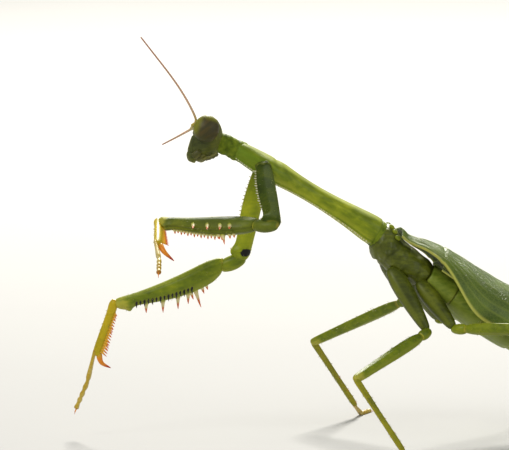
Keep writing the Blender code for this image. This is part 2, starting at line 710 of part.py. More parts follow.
def centre_on_floor():
    """Moves the model so that the origin is under the middle of its box."""
    bpy.context.view_layer.update()
    graph = bpy.context.evaluated_depsgraph_get()
    corners = []
    for obj in PARTS.objects:
        mesh = obj.evaluated_get(graph).to_mesh()
        corners += [v.co.copy() for v in mesh.vertices]
        obj.evaluated_get(graph).to_mesh_clear()
    middle = [(min(c[i] for c in corners) + max(c[i] for c in corners)) / 2 for i in (0, 1)]
    shift = Matrix.Translation((-middle[0], -middle[1], 0))
    for obj in (*PARTS.objects, *CUTTERS.objects):
        obj.data.transform(shift)


clear_scene()
PARTS = new_collection("praying_mantis")
CUTTERS = new_collection("cutters")
make_head()
make_mouth()
make_antennae()
make_trunk()
make_neck()
make_abdomen()
make_cerci()
make_wings()
for leg_side in ("l", "r"):
    make_foreleg(leg_side, FORE_JOINTS[leg_side])
    make_walking_leg("mid", leg_side, MID_JOINTS[leg_side])
    make_walking_leg("hind", leg_side, HIND_JOINTS[leg_side])
centre_on_floor()
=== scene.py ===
"""The looks of a praying mantis that stands on four legs: its plates, eyes, wings, spines and hairs.

Pieces are modelled in millimetres, upright along +Z with their back towards +Y, and then laid in
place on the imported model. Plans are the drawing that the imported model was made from.
"""

from math import cos, hypot, pi, radians, sin
from random import Random

import bpy
from mathutils import Matrix, Vector, noise


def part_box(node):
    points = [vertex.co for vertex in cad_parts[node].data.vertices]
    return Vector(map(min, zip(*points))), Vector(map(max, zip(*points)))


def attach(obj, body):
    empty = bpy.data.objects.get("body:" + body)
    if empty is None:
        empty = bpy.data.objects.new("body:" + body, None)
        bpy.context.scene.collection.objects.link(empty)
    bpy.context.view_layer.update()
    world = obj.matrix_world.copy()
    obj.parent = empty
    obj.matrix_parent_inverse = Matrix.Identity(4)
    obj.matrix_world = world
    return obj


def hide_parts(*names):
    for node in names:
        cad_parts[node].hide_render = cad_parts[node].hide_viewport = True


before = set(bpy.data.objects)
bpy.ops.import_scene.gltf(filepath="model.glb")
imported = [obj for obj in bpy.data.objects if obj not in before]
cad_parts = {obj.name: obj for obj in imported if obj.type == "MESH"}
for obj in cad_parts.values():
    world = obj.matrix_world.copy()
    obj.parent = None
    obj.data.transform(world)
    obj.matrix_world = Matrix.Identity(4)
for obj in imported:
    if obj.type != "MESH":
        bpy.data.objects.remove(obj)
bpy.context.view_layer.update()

MM = 0.001
DOWN = Vector((0, 0, -1))
SIDES = (("l", 1), ("r", -1))  # tag of each side of the body, and its way along X

# ---- where everything is, in the plans' millimetres ----
PRONOTUM_MIDDLE = Vector((0.0, 6.7945, 34.2477))  # middle of the first thorax segment's box
PRONOTUM_FRONT = Vector((0, -2.73, 40.3))
PRONOTUM_PITCH = 31.4  # degrees down towards the rear
PRONOTUM_LENGTH = 22.6
BACK_FRONT = Vector((0, 16.85, 28.3))
BACK_PITCH = (38.0, 13.0)  # degrees down towards the rear, at its start and at its end
THORAX_LENGTH = 8.5
ABDOMEN_LENGTH = 36.5
ABDOMEN_START = THORAX_LENGTH + 0.3
WING_TIP = 46.6
HEAD_CENTRE = Vector((0, -6.6, 43.0))
HEAD_TURN = {"Z": -13.0, "X": -20.0, "Y": -9.0}  # degrees
EYE_OFFSET = 2.75
EYE_RADII = (1.4, 1.73, 1.83)
ANTENNA_BASE = Vector((0.75, 1.95, -0.5))
ANTENNA_PATHS = {
    "l": ((1.0, -8.3, 44.7), (1.8, -10.9, 49.3), (2.5, -16.0, 56.0)),
    "r": ((-2.0, -8.4, 42.8), (-6.8, -9.5, 41.2), (-12.0, -10.8, 39.5)),
}
# each leg: root, hip, knee, wrist or ankle, and toe
FORE_JOINTS = {
    "l": (
        (2.2, 0.8, 38.2), (12.8, 0.4, 31.4), (1.4, -13.4, 30.65),
        (8.6, -14.6, 28.7), (15.8, -15.6, 25.7),
    ),
    "r": (
        (-2.2, 1.3, 37.3), (-4.2, -1.3, 24.7), (-6.4, -18.3, 18.6),
        (-7.5, -20.6, 11.6), (-9.0, -23.2, 3.9),
    ),
}
TIBIA_TWIST = {"l": 52.0, "r": 0.0}  # degrees that a shin is turned about its own line
WALKING_JOINTS = {
    ("mid", "l"): (
        (2.4, 18.8, 22.9), (6.4, 22.6, 15.6), (17.0, 10.9, 11.0),
        (21.2, 16.5, 1.9), (26.0, 19.1, 0.0),
    ),
    ("mid", "r"): (
        (-2.2, 18.6, 24.1), (-5.5, 22.1, 18.5), (-16.5, 10.8, 11.3),
        (-21.0, 17.3, 1.9), (-25.4, 20.2, 0.0),
    ),
    ("hind", "l"): (
        (2.4, 22.6, 21.2), (5.6, 26.4, 15.8), (18.2, 39.4, 17.2),
        (22.2, 47.2, 1.9), (26.0, 53.0, 0.0),
    ),
    ("hind", "r"): (
        (-2.4, 22.6, 21.2), (-5.6, 26.2, 15.6), (-18.6, 38.8, 16.8),
        (-22.8, 46.0, 1.9), (-27.2, 51.2, 0.0),
    ),
}

# ---- profiles: share of the length, half width, reach above and below ----
PRONOTUM = (
    (-0.035, 1.0, 0.7, 0.7),
    (-0.015, 1.5, 1.08, 1.05),
    (0.02, 1.85, 1.28, 1.25),
    (0.08, 2.2, 1.4, 1.4),
    (0.16, 2.7, 1.55, 1.55),
    (0.235, 3.2, 1.65, 1.65),
    (0.31, 2.8, 1.6, 1.55),
    (0.40, 2.15, 1.35, 1.35),
    (0.55, 1.8, 1.2, 1.2),
    (0.70, 1.9, 1.35, 1.35),
    (0.84, 2.2, 1.65, 1.6),
    (0.94, 2.35, 1.85, 1.95),
    (0.985, 2.35, 1.85, 1.97),
    (1.0, 2.25, 1.78, 1.9),
    (1.004, 1.95, 1.5, 1.6),
)
MESOTHORAX = (
    (-0.01, 1.9, 1.4, 1.8),
    (0.01, 2.25, 1.72, 2.2),
    (0.06, 2.5, 1.95, 2.55),
    (0.12, 2.8, 2.15, 2.85),
    (0.22, 3.05, 1.9, 3.05),
    (0.32, 3.15, 1.45, 3.15),
    (0.5, 3.3, 1.4, 3.15),
    (0.545, 3.28, 1.38, 3.1),
    (0.56, 3.0, 1.2, 2.8),
)
METATHORAX = (
    (0.5, 3.0, 1.25, 2.8),
    (0.53, 3.2, 1.35, 3.0),
    (0.57, 3.33, 1.4, 3.15),
    (0.76, 3.4, 1.4, 3.05),
    (0.97, 3.25, 1.3, 2.6),
    (1.03, 2.8, 1.1, 2.2),
)
ABDOMEN = (
    (0.0, 3.0, 1.3, 2.3),
    (0.12, 4.0, 1.6, 2.9),
    (0.28, 4.8, 1.8, 3.2),
    (0.46, 5.0, 1.9, 3.2),
    (0.64, 4.4, 1.7, 2.8),
    (0.78, 3.5, 1.4, 2.3),
    (0.90, 2.4, 1.1, 1.6),
    (0.975, 1.4, 0.8, 1.0),
    (1.0, 0.8, 0.5, 0.6),
)
ABDOMEN_CUTS = (0.0, 0.11, 0.245, 0.385, 0.525, 0.66, 0.785, 0.89, 1.0)
FORE_COXA = (
    (-0.03, 0.6, 0.7, 0.7),
    (0.01, 0.85, 1.05, 1.0),
    (0.12, 0.9, 1.2, 1.1),
    (0.35, 0.95, 1.5, 1.2),
    (0.65, 0.95, 1.4, 1.2),
    (0.85, 0.9, 1.0, 1.15),
    (0.93, 0.92, 1.8, 1.15),
    (0.98, 0.85, 1.35, 0.95),
    (1.02, 0.5, 0.7, 0.6),
)
FORE_TROCHANTER = (
    (-0.04, 0.5, 0.6, 0.6),
    (0.01, 0.85, 0.9, 1.05),
    (0.075, 0.95, 0.9, 1.25),
    (0.13, 0.8, 0.75, 1.1),
    (0.17, 0.55, 0.5, 0.8),
)
FORE_FEMUR = (
    (0.135, 0.6, 0.8, 0.95),
    (0.165, 0.88, 1.15, 1.35),
    (0.24, 1.05, 1.25, 1.75),
    (0.36, 1.22, 0.95, 2.15),
    (0.50, 1.18, 0.65, 2.2),
    (0.64, 1.0, 0.5, 1.95),
    (0.78, 0.88, 0.44, 1.45),
    (0.86, 0.84, 0.48, 1.2),
    (0.9, 0.86, 0.55, 1.6),
    (0.945, 0.88, 0.6, 1.2),
    (0.975, 0.78, 0.54, 0.9),
    (0.993, 0.5, 0.34, 0.55),
)
FORE_TIBIA = (
    (-0.09, 0.3, 0.35, 0.3),
    (-0.05, 0.5, 0.55, 0.45),
    (0.0, 0.58, 0.66, 0.56),
    (0.05, 0.6, 0.68, 0.6),
    (0.14, 0.5, 0.58, 0.62),
    (0.4, 0.5, 0.57, 0.62),
    (0.88, 0.52, 0.6, 0.64),
    (0.98, 0.44, 0.52, 0.55),
    (1.03, 0.3, 0.36, 0.36),
)
WALK_COXA = (
    (-0.14, 0.7, 0.9, 0.9),
    (-0.05, 1.0, 1.3, 1.25),
    (0.08, 1.2, 1.55, 1.5),
    (0.3, 1.25, 1.5, 1.5),
    (0.6, 1.05, 1.15, 1.15),
    (0.86, 0.75, 0.85, 0.8),
    (0.98, 0.5, 0.55, 0.55),
)
WALK_TROCHANTER = (
    (-0.03, 0.45, 0.45, 0.45),
    (0.02, 0.7, 0.72, 0.72),
    (0.07, 0.74, 0.77, 0.77),
    (0.115, 0.5, 0.55, 0.55),
)
WALK_FEMUR = (
    (0.095, 0.42, 0.5, 0.5),
    (0.12, 0.52, 0.62, 0.62),
    (0.2, 0.64, 0.86, 0.86),
    (0.45, 0.62, 0.86, 0.86),
    (0.8, 0.53, 0.7, 0.7),
    (0.93, 0.53, 0.66, 0.7),
    (1.0, 0.5, 0.6, 0.6),
    (1.02, 0.3, 0.36, 0.36),
)
WALK_TIBIA = (
    (-0.02, 0.25, 0.25, 0.25),
    (0.02, 0.46, 0.5, 0.5),
    (0.1, 0.4, 0.44, 0.44),
    (0.6, 0.35, 0.38, 0.38),
    (0.93, 0.4, 0.44, 0.44),
    (1.0, 0.36, 0.38, 0.38),
    (1.03, 0.24, 0.26, 0.26),
)
LONG_VEINS = (  # where each vein of a forewing stands across it, at the root and at the tip
    (0.05, 0.07),
    (0.13, 0.2),
    (0.2, 0.34),
    (0.27, 0.47),
    (0.36, 0.6),
    (0.45, 0.72),
    (0.56, 0.83),
    (0.68, 0.92),
    (0.82, 0.98),
)
WING_SEAT = 0.35  # height of the lowest wing over the back
WING_STEP = 0.8  # height of each next wing over the one below it
WING_THICKNESS = 0.3
TARSOMERES = (0.0, 0.44, 0.62, 0.75, 0.85, 1.0)  # where the five joints of a foot start and end
FOOT_RADII = (0.26, 0.37)  # at the waist of a joint and at its pad
TIBIAL_CLAW = {"l": 3.15, "r": 2.7}  # length of the hooked claw at a shin's end
FORELEG = "foreleg_cuticle"
HAIR_PATCH = 0.003  # of an unwrap, that each hair takes up
HAIR_RADIUS = 0.02
HAIR_SPAN = (0.15, 0.95)  # stretch of a segment that hairs stand on
FACET = 0.003  # height of an eye's facets, as a share of its radius
ANTENNA_FOOT = 2.0  # length of the two thick joints under the lash
ANTENNA_RINGS = 44
NECK_RINGS = 13
DENTICLES = 62
CERCUS_RINGS = 11
SHIELD_BACK = -1.1  # where the face shield ends, inside the head

# ---- spines: share along the segment, length ----
EXTERNAL_SPINES = {
    "l": [(0.325, 1.2), (0.405, 1.45), (0.515, 1.45), (0.645, 1.2)],
    "r": [(0.45, 1.2), (0.53, 1.45), (0.645, 1.45), (0.77, 1.2)],
}
DISCOIDAL_SPINES = [(0.305, 0.55), (0.34, 0.75), (0.395, 2.2), (0.43, 0.9)]
INTERNAL_SPINES = [(0.41 + 0.0305 * i, (0.8, 0.5)[i % 2]) for i in range(15)]
TIBIAL_OUTER = [(0.2 + 0.062 * i, 0.5 + 0.045 * i) for i in range(12)]
TIBIAL_INNER = [(0.16 + 0.05 * i, 0.4 + 0.036 * i) for i in range(16)]
# each row on each leg: lean towards the knee, tilt off the belly, seat across, seat down, size
OUTER_ROW = {"l": (-0.5, 0.1, 0.45, 0.72, 1.0), "r": (0.3, 0.3, 0.4, 0.9, 1.2)}
MIDDLE_ROW = {"l": (-0.55, 0.9, 0.6, 0.75, 0.6), "r": (0.02, 0.0, 0.1, 0.75, 1.1)}
INNER_ROW = {"l": (-0.4, 1.2, 0.72, 0.72, 0.6), "r": (0.3, 0.35, 0.72, 0.5, 0.85)}
SHIN_ROW = (0.45, 0.35, 0.55, 0.72, 1.0)
COXAL_TEETH = [(0.12 + 0.0415 * i, (0.24, 0.12, 0.17)[i % 3]) for i in range(20)]
COXAL_BLOT = (11.9, -0.4, 0.62, 0.85)  # black patch on the right fore coxa: up, across, radii

# ---- colours ----
LEAF = (0.19, 0.25, 0.006)
DEEP_LEAF = (0.09, 0.13, 0.006)
LIT_LEAF = (0.46, 0.5, 0.025)
STRAW = (0.50, 0.42, 0.05)
YELLOW = (0.56, 0.52, 0.06)
CREAM = (0.76, 0.70, 0.42)
OLIVE = (0.06, 0.055, 0.018)
UMBER = (0.03, 0.018, 0.008)
ROSE = (0.42, 0.20, 0.12)
ORANGE = (0.78, 0.13, 0.003)
BLACK = (0.006, 0.005, 0.004)


# ---- places ----
def plans_to_model():
    low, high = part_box("prothorax")
    shift = PRONOTUM_MIDDLE - (low + high) / 2 / MM
    return Matrix.Scale(MM, 4) @ Matrix.Translation(-shift)


TO_MODEL = plans_to_model()


def along_line(start, end, belly):
    """Lays a piece that stands along +Z from start towards end, with its -Y side towards the belly."""
    along = (end - start).normalized()
    back = -(belly - along * belly.dot(along)).normalized()
    turn = Matrix((back.cross(along), back, along)).transposed().to_4x4()
    return Matrix.Translation(start) @ turn


def head_place():
    """The head's own axes: +X to its right, +Y forwards, +Z up."""
    turn = Matrix.Identity(3)
    for axis in "ZXY":
        turn = turn @ Matrix.Rotation(radians(HEAD_TURN[axis]), 3, axis)
    right, forward, up = (turn @ Vector(v) for v in ((-1, 0, 0), (0, -1, 0), (0, 0, 1)))
    return Matrix.Translation(HEAD_CENTRE) @ Matrix((right, forward, up)).transposed().to_4x4()


HEAD = head_place()


def in_head(left, forward, up):
    """A place in the plans, from millimetres to the head's left, forwards and up."""
    return HEAD @ Vector((-left, forward, up))


def smooth(x):
    """0 below 0, 1 above 1, and eased between."""
    x = min(max(x, 0.0), 1.0)
    return x * x * (3 - 2 * x)


def near(x, width):
    """1 at 0, and falls evenly to 0 at a width to either side."""
    return max(0.0, 1 - abs(x) / width)


def ring(distance, radius):
    """A round row of a profile."""
    return distance, radius, radius, radius


def back_line(distance):
    """Place, direction and upright of the line through the rear thorax and abdomen."""
    place, walked, step = BACK_FRONT.copy(), min(distance, 0.0), 0.25
    while True:
        bend = smooth((walked - THORAX_LENGTH * 0.7) / ABDOMEN_LENGTH)
        pitch = radians(BACK_PITCH[0] + (BACK_PITCH[1] - BACK_PITCH[0]) * bend)
        along, up = Vector((0, cos(pitch), -sin(pitch))), Vector((0, sin(pitch), cos(pitch)))
        if walked >= distance:
            return place + along * min(distance, 0.0), along, up
        move = min(step, distance - walked)
        place += along * move
        walked += move


def read_rows(rows, at):
    """A profile's row at a share of its length, on a smooth curve through the rows."""
    last = len(rows) - 1
    at = min(max(at, rows[0][0]), rows[-1][0] - 1e-6)
    i = max(k for k in range(last) if rows[k][0] <= at)
    before, a, b, after = (rows[min(max(k, 0), last)] for k in (i - 1, i, i + 1, i + 2))
    t = (at - a[0]) / (b[0] - a[0])

    def slope(p, q):
        return [(y - x) / max(q[0] - p[0], 1e-6) * (b[0] - a[0]) for x, y in zip(p, q)]

    start, end = slope(before, b), slope(a, after)
    h = (2 * t**3 - 3 * t**2 + 1, t**3 - 2 * t**2 + t, -2 * t**3 + 3 * t**2, t**3 - t**2)
    return [h[0] * p + h[1] * u + h[2] * q + h[3] * v for p, u, q, v in zip(a, start, b, end)][1:]


def curve(bends, share):
    """A place at a share of a smooth path through some points."""
    rows = [(i / (len(bends) - 1), *bend) for i, bend in enumerate(bends)]
    return Vector(read_rows(rows, share))


def path_line(bends):
    """Place, direction and upright along a smooth path through some points."""
    steps = 60
    points = [curve(bends, i / steps) for i in range(steps + 1)]
    reach = [0.0]
    for a, b in zip(points, points[1:]):
        reach.append(reach[-1] + (b - a).length)
    up = (points[1] - points[0]).orthogonal().normalized()
    ups = []
    for i in range(steps + 1):
        along = (points[min(i + 1, steps)] - points[max(i - 1, 0)]).normalized()
        up = (up - along * up.dot(along)).normalized()
        ups.append((along, up))

    def line(distance):
        i = max(k for k in range(steps) if reach[k] <= distance or k == 0)
        t = (distance - reach[i]) / (reach[i + 1] - reach[i])
        along = ups[i][0].lerp(ups[i + 1][0], min(max(t, 0), 1)).normalized()
        place = points[i].lerp(points[i + 1], t)
        if not 0 <= t <= 1:
            place = points[i] + along * (distance - reach[i])
        return place, along, ups[i][1]

    return line, reach[-1]


# ---- modelling ----
def only(piece):
    """Selects one piece alone, and makes it the one that operators act on."""
    bpy.ops.object.select_all(action="DESELECT")
    piece.select_set(True)
    bpy.context.view_layer.objects.active = piece


def added(name, shape, **settings):
    """Starts a piece from a simple shape, by the operator that adds it."""
    bpy.ops.object.select_all(action="DESELECT")
    shape(**settings)
    piece = bpy.context.object
    piece.name = name
    piece.data.name = name
    return piece


def edit(step, **settings):
    """Runs a mesh operator over the whole of the piece at hand."""
    bpy.ops.object.mode_set(mode="EDIT")
    bpy.ops.mesh.select_all(action="SELECT")
    step(**settings)
    bpy.ops.object.mode_set(mode="OBJECT")


def limb(name, rows, sides=16):
    """A closed tube up +Z from rows of height, half width, reach towards +Y and reach towards -Y.

    It is made a little wide, because rounding draws it in.
    """
    grow = 6 / (4 + 2 * cos(2 * pi / sides))
    piece = added(name, bpy.ops.mesh.primitive_circle_add, vertices=sides, radius=1.0, fill_type="NGON")
    bpy.ops.object.mode_set(mode="EDIT")
    bpy.ops.mesh.select_all(action="SELECT")
    middle, level, across, upright = 0.0, 0.0, 1.0, 1.0
    for i, (height, wide, high, deep) in enumerate(rows):
        shift, tall, wide = (high - deep) / 2, (high + deep) / 2 * grow, wide * grow
        move = (0.0, shift - middle, height - level)
        if i == 0:
            bpy.ops.transform.translate(value=move)
        else:
            bpy.ops.mesh.extrude_region_move(TRANSFORM_OT_translate={"value": move})
        bpy.ops.transform.resize(
            value=(wide / across, tall / upright, 1.0), center_override=(0.0, shift, height)
        )
        middle, level, across, upright = shift, height, wide, tall
    bpy.ops.mesh.select_all(action="SELECT")
    bpy.ops.mesh.normals_make_consistent(inside=False)
    bpy.ops.object.mode_set(mode="OBJECT")
    return piece


def apply(piece, kind, **settings):
    """Adds a modifier and applies it."""
    only(piece)
    step = piece.modifiers.new(kind.lower(), kind)
    for setting, value in settings.items():
        setattr(step, setting, value)
    bpy.ops.object.modifier_apply(modifier=step.name)


def reshape(piece, rule):
    """Moves every corner of a piece by a rule from old place to new."""
    for vertex in piece.data.vertices:
        vertex.co = rule(vertex.co)
    piece.data.update()


def squared(co, row, power):
    """Fills out the corners of a section, so that it is less round."""
    wide, high, deep = row
    middle, tall = (high - deep) / 2, (high + deep) / 2
    across, upright = co.x / wide, (co.y - middle) / tall
    size = (abs(across) ** power + abs(upright) ** power) ** (1 / power)
    fuller = hypot(across, upright) / max(size, 1e-6)
    return co.x * fuller, middle + (co.y - middle) * fuller


def note(piece, name, values):
    """Keeps a value for every corner of a piece, under a name that its finish asks for."""
    piece.data.attributes.new(name, "FLOAT", "POINT").data.foreach_set("value", values)


def mark(piece, blot=None):
    """Notes on every corner how far along the piece it lies, and which way it faces.

    A blot is a place up the piece and across it, and its two radii.
    """
    corners = piece.data.vertices
    heights = [v.co.z for v in corners]
    low, high = min(heights), max(heights)
    note(piece, "along", [(h - low) / (high - low) for h in heights])
    note(piece, "back", [v.normal.y for v in corners])
    if blot:
        up, across, tall, wide = blot
        near_blot = [1 - hypot((v.co.z - up) / tall, (v.co.y - across) / wide) for v in corners]
        note(piece, "blot", near_blot)


def lay(piece, place):
    """Puts a piece that was modelled upright in its place, by a matrix or along a line."""
    if isinstance(place, Matrix):
        piece.data.transform(TO_MODEL @ place)
        return piece
    for vertex in piece.data.vertices:
        x, y, z = vertex.co
        start, along, up = place(z)
        vertex.co = TO_MODEL @ (start + up.cross(along) * x + up * y)
    piece.data.update()
    return piece


def dress(piece, slot, finish, *nodes):
    """Gives a piece its finish, smooths it, hangs it from the root and hides the imported parts that it
    stands for.
    """
    piece.data.materials.clear()
    piece.data.materials.append(finish)
    only(piece)
    bpy.ops.object.shade_smooth_by_angle(angle=radians(40))
    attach(piece, "root")
    if nodes:
        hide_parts(*nodes)
    return piece


def shell(name, rows, place, slot, finish, *nodes, sides=16, levels=2, relief=None, blot=None):
    """Makes a rounded piece from its rows, gives it its relief, and makes it ready in its place."""
    piece = limb(name, rows, sides)
    apply(piece, "SUBSURF", levels=levels, render_levels=levels)
    if relief:
        reshape(piece, relief)
    mark(piece, blot)
    return dress(lay(piece, place), slot, finish, *nodes)


def copies(name, model, places, roots=None):
    """One piece of many copies of a small model, each with a place of its own.

    Roots are the places on the skin's unwrap that hairs stand on; each hair is a small patch there.
    """
    points, faces, along, patches = [], [], [], []
    corners = [v.co.copy() for v in model.data.vertices]
    shares = [d.value for d in model.data.attributes["along"].data]
    for i, place in enumerate(places):
        start = len(points)
        points += [place @ co for co in corners]
        faces += [[start + k for k in face.vertices] for face in model.data.polygons]
        along += shares
        if roots:
            u, v = roots[i]
            patches += [(u + co.x * HAIR_PATCH / 2, v + (co.z - 0.5) * HAIR_PATCH) for co in corners]
    mesh = bpy.data.meshes.new(name)
    mesh.from_pydata(points, [], faces)
    if roots:
        unwrap = mesh.uv_layers.new(name="OFBake")
        for loop, spot in zip(mesh.loops, unwrap.uv):
            spot.vector = patches[loop.vertex_index]
    piece = bpy.data.objects.new(name, mesh)
    bpy.context.scene.collection.objects.link(piece)
    note(piece, "along", along)
    return piece


def thorn_place(base, tip, radius, lean):
    """Stands a thorn of height 1 on its base, with its hollow side towards the lean."""
    axis = tip - base
    place = along_line(base, tip, lean)
    return place @ Matrix.Diagonal((radius, radius, axis.length, 1.0))


def remove(piece):
    bpy.data.objects.remove(piece, do_unlink=True)


# ---- finishes ----
class Value:
    """A value that a finish works with, which takes part in sums."""

    def __init__(self, finish, socket):
        self.finish, self.socket = finish, socket

    def sum(self, operation, *values):
        inputs = {i: value for i, value in enumerate(values)}
        return self.finish.node("Math", inputs, operation=operation)

    def __add__(self, other):
        return self.sum("ADD", self, other)

    def __sub__(self, other):
        return self.sum("SUBTRACT", self, other)

    def __rsub__(self, other):
        return self.sum("SUBTRACT", other, self)

    def __mul__(self, other):
        return self.sum("MULTIPLY", self, other)

    __radd__, __rmul__ = __add__, __mul__

    def size(self):
        return self.sum("ABSOLUTE", self)

    def above(self, start, end):
        """0 below start, 1 above end, and eased between."""
        inputs = {"Value": self, "From Min": start, "From Max": end}
        return self.finish.node("MapRange", inputs, interpolation_type="SMOOTHSTEP")


class Finish:
    """A material, and the nodes that work out its look."""

    def __init__(self, name, **constants):
        self.material = bpy.data.materials.new(name)
        self.material.use_nodes = True
        self.tree = self.material.node_tree
        self.shader = self.tree.nodes["Principled BSDF"]
        for socket, value in constants.items():
            self.shader.inputs[socket.replace("_", " ")].default_value = value
        self.coordinates = self.node("TexCoord", output="Object")

    def node(self, kind, inputs=None, output=0, stops=None, **settings):
        """Adds a node with its settings and inputs, and returns one of its outputs."""
        made = self.tree.nodes.new("ShaderNode" + kind)
        for setting, value in settings.items():
            setattr(made, setting, value)
        if stops:
            while len(made.color_ramp.elements) < len(stops):
                made.color_ramp.elements.new(0.5)
            for element, (at, colour) in zip(made.color_ramp.elements, stops):
                element.position, element.color = at, (*colour, 1.0)
        for socket, value in (inputs or {}).items():
            if isinstance(value, Value):
                self.tree.links.new(value.socket, made.inputs[socket])
            else:
                made.inputs[socket].default_value = value
        return Value(self, made.outputs[output])

    def noise(self, per_mm, detail=3.0, stretch=None):
        """A cloudy value from 0 to 1 with so many blots to the millimetre."""
        place = self.coordinates
        if stretch:
            place = self.node("Mapping", {"Vector": place, "Scale": stretch})
        inputs = {"Vector": place, "Scale": per_mm / MM, "Detail": detail, "Roughness": 0.5}
        return self.node("TexNoise", inputs)

    def cells(self, per_mm, feature="F1"):
        return self.node("TexVoronoi", {"Vector": self.coordinates, "Scale": per_mm / MM}, feature=feature)

    def note(self, name):
        return self.node("Attribute", output="Fac", attribute_name=name)

    def mix(self, factor, a, b):
        """Colour a where the factor is 0, and colour b where it is 1."""
        a, b = (v if isinstance(v, Value) else (*v, 1.0) for v in (a, b))
        return self.node("Mix", {0: factor, 6: a, 7: b}, output=2, data_type="RGBA")

    def ramp(self, factor, *stops):
        return self.node("ValToRGB", {"Fac": factor}, stops=stops)

    def set(self, **links):
        for socket, value in links.items():
            self.tree.links.new(value.socket, self.shader.inputs[socket.replace("_", " ")])

    def bump(self, height, depth_mm):
        inputs = {"Height": height, "Distance": depth_mm * MM, "Strength": 1.0}
        self.set(Normal=self.node("Bump", inputs))


def soft_light(weight, depth_mm, tint=(1.0, 0.9, 0.3)):
    """Constants for a skin that light sinks into."""
    return {
        "Subsurface_Weight": weight,
        "Subsurface_Radius": tint,
        "Subsurface_Scale": depth_mm * MM,
    }


def cuticle(
    name,
    deep,
    main,
    lit,
    joint=STRAW,
    fore=None,
    blotted=False,
    knee=False,
    belly=0.35,
    granules=0.3,
    grain=0.0,
    rough=0.42,
    shine=0.28,
):
    """Plate of the body: mottled green, finely granulated, with painted highlights that make its ridge and
    underside lighter.

    Joint is the colour of its two ends, and fore that of its front half. A knee has a pale end, and
    a blot is black. Belly is how strong the painted highlight on the underside is, and grain the slope of
    its streaks in degrees.
    """
    finish = Finish(name, **soft_light(0.12, 0.5), Coat_Roughness=0.3, Specular_IOR_Level=shine)
    blots = finish.noise(0.3, detail=4.0)
    sloped = {"Vector": finish.coordinates, "Rotation": (radians(grain), 0.0, 0.0)}
    streaks = {"Vector": finish.node("Mapping", sloped), "Scale": (1.0, 0.3, 1.0)}
    inputs = {"Vector": finish.node("Mapping", streaks), "Scale": 2.6 / MM, "Detail": 3.0, "Roughness": 0.55}
    fine = finish.node("TexNoise", inputs)
    along, back = finish.note("along"), finish.note("back")
    colour = finish.ramp(blots * 0.65 + fine * 0.35, (0.3, deep), (0.5, main), (0.75, lit))
    # painted highlight: the underside is mixed towards the lit colour, as strongly as belly says
    colour = finish.mix((0.0 - back).above(0.0, 0.8) * belly, colour, lit)
    # painted highlight along the ridge, where the plate faces straight back
    colour = finish.mix(back.above(0.8, 1.0) * 0.5, colour, lit)
    if fore:
        behind = (along + (blots - 0.5) * 0.35).above(0.08, 0.44)
        off_ridge = 1.0 - back.above(0.35, 0.85) * 0.8
        colour = finish.mix((1.0 - behind) * off_ridge * 0.85, colour, fore)
    ends = (along - 0.5).size().above(0.46, 0.5) * 0.7
    colour = finish.mix(ends, colour, joint)
    grains = finish.cells(7.0)
    speck = (1.0 - grains.above(0.05, 0.32)) * finish.noise(1.3).above(0.5, 0.62)
    colour = finish.mix(speck * granules, colour, LIT_LEAF)
    if knee:
        pale = (along + (fine - 0.5) * 0.08).above(0.87, 0.93) * (1.0 - back.above(0.2, 0.8) * 0.6)
        colour = finish.mix(pale * 0.75, colour, YELLOW)
    if blotted:
        ragged = (finish.noise(1.6) - 0.5) * 0.9
        colour = finish.mix((finish.note("blot") + ragged).above(0.0, 0.16), colour, BLACK)
    finish.set(
        Base_Color=colour,
        Roughness=rough - 0.08 + fine * 0.2,
        Coat_Weight=blots * shine * 0.5,
    )
    finish.bump((1.0 - grains.above(0.0, 0.4)) * 0.5 + finish.noise(9.0, detail=2.0) * 0.6, 0.02)
    return finish.material


def spine_finish(name, foot, shaft, tip, turn=0.6):
    """Horn with the colour of its foot, its shaft and its tip, which starts at the turn."""
    finish = Finish(name)
    along = finish.note("along") + (finish.noise(2.0) - 0.5) * 0.15
    colour = finish.ramp(along, (0.05, foot), (0.25, shaft), (turn, shaft), (turn + 0.2, tip))
    finish.set(Base_Color=colour, Roughness=0.3 + finish.noise(5.0) * 0.2)
    finish.bump(finish.noise(12.0, stretch=(1.0, 1.0, 0.2)), 0.01)
    return finish.material


def eye_finish():
    """Olive brown, cloudy in bands, with a net of facets, and a painted highlight that makes it paler
    towards its rim, front and top.
    """
    finish = Finish("compound_eye", Coat_Roughness=0.35, Roughness=0.5, Specular_IOR_Level=0.25)
    rim, low = finish.note("rim"), finish.note("low")
    turned = finish.node("Mapping", {"Vector": finish.coordinates, "Rotation": (radians(-38), 0.0, 0.0)})
    bands = finish.node("Mapping", {"Vector": turned, "Scale": (1.0, 0.35, 2.2)})
    inputs = {"Vector": bands, "Scale": 0.9 / MM, "Detail": 4.0, "Roughness": 0.5}
    streaks = finish.node("TexNoise", inputs)
    brown, russet = (0.08, 0.068, 0.018), (0.13, 0.088, 0.018)
    colour = finish.ramp(streaks, (0.32, OLIVE), (0.52, brown), (0.74, russet))
    # painted highlight: paler towards the rim, front and top
    colour = finish.mix(rim.above(0.25, 0.85) * 0.9, colour, (0.3, 0.31, 0.02))
    colour = finish.mix(low.above(0.35, 0.95) * 0.8, colour, (0.075, 0.08, 0.014))
    facets = finish.cells(14.0)
    colour = finish.mix(facets.above(0.3, 0.6) * 0.3, colour, UMBER)
    finish.set(Base_Color=colour, Coat_Weight=0.05 + finish.noise(1.0) * 0.1)
    finish.bump(1.0 - facets, 0.01)
    return finish.material


def amber():
    """Clear honey colour of the three small eyes on the brow."""
    finish = Finish("ocellus_amber", Coat_Weight=0.8, Coat_Roughness=0.05, Roughness=0.25)
    finish.set(Base_Color=finish.ramp(finish.noise(3.0), (0.3, (0.3, 0.18, 0.04)), (0.7, (0.55, 0.4, 0.12))))
    return finish.material


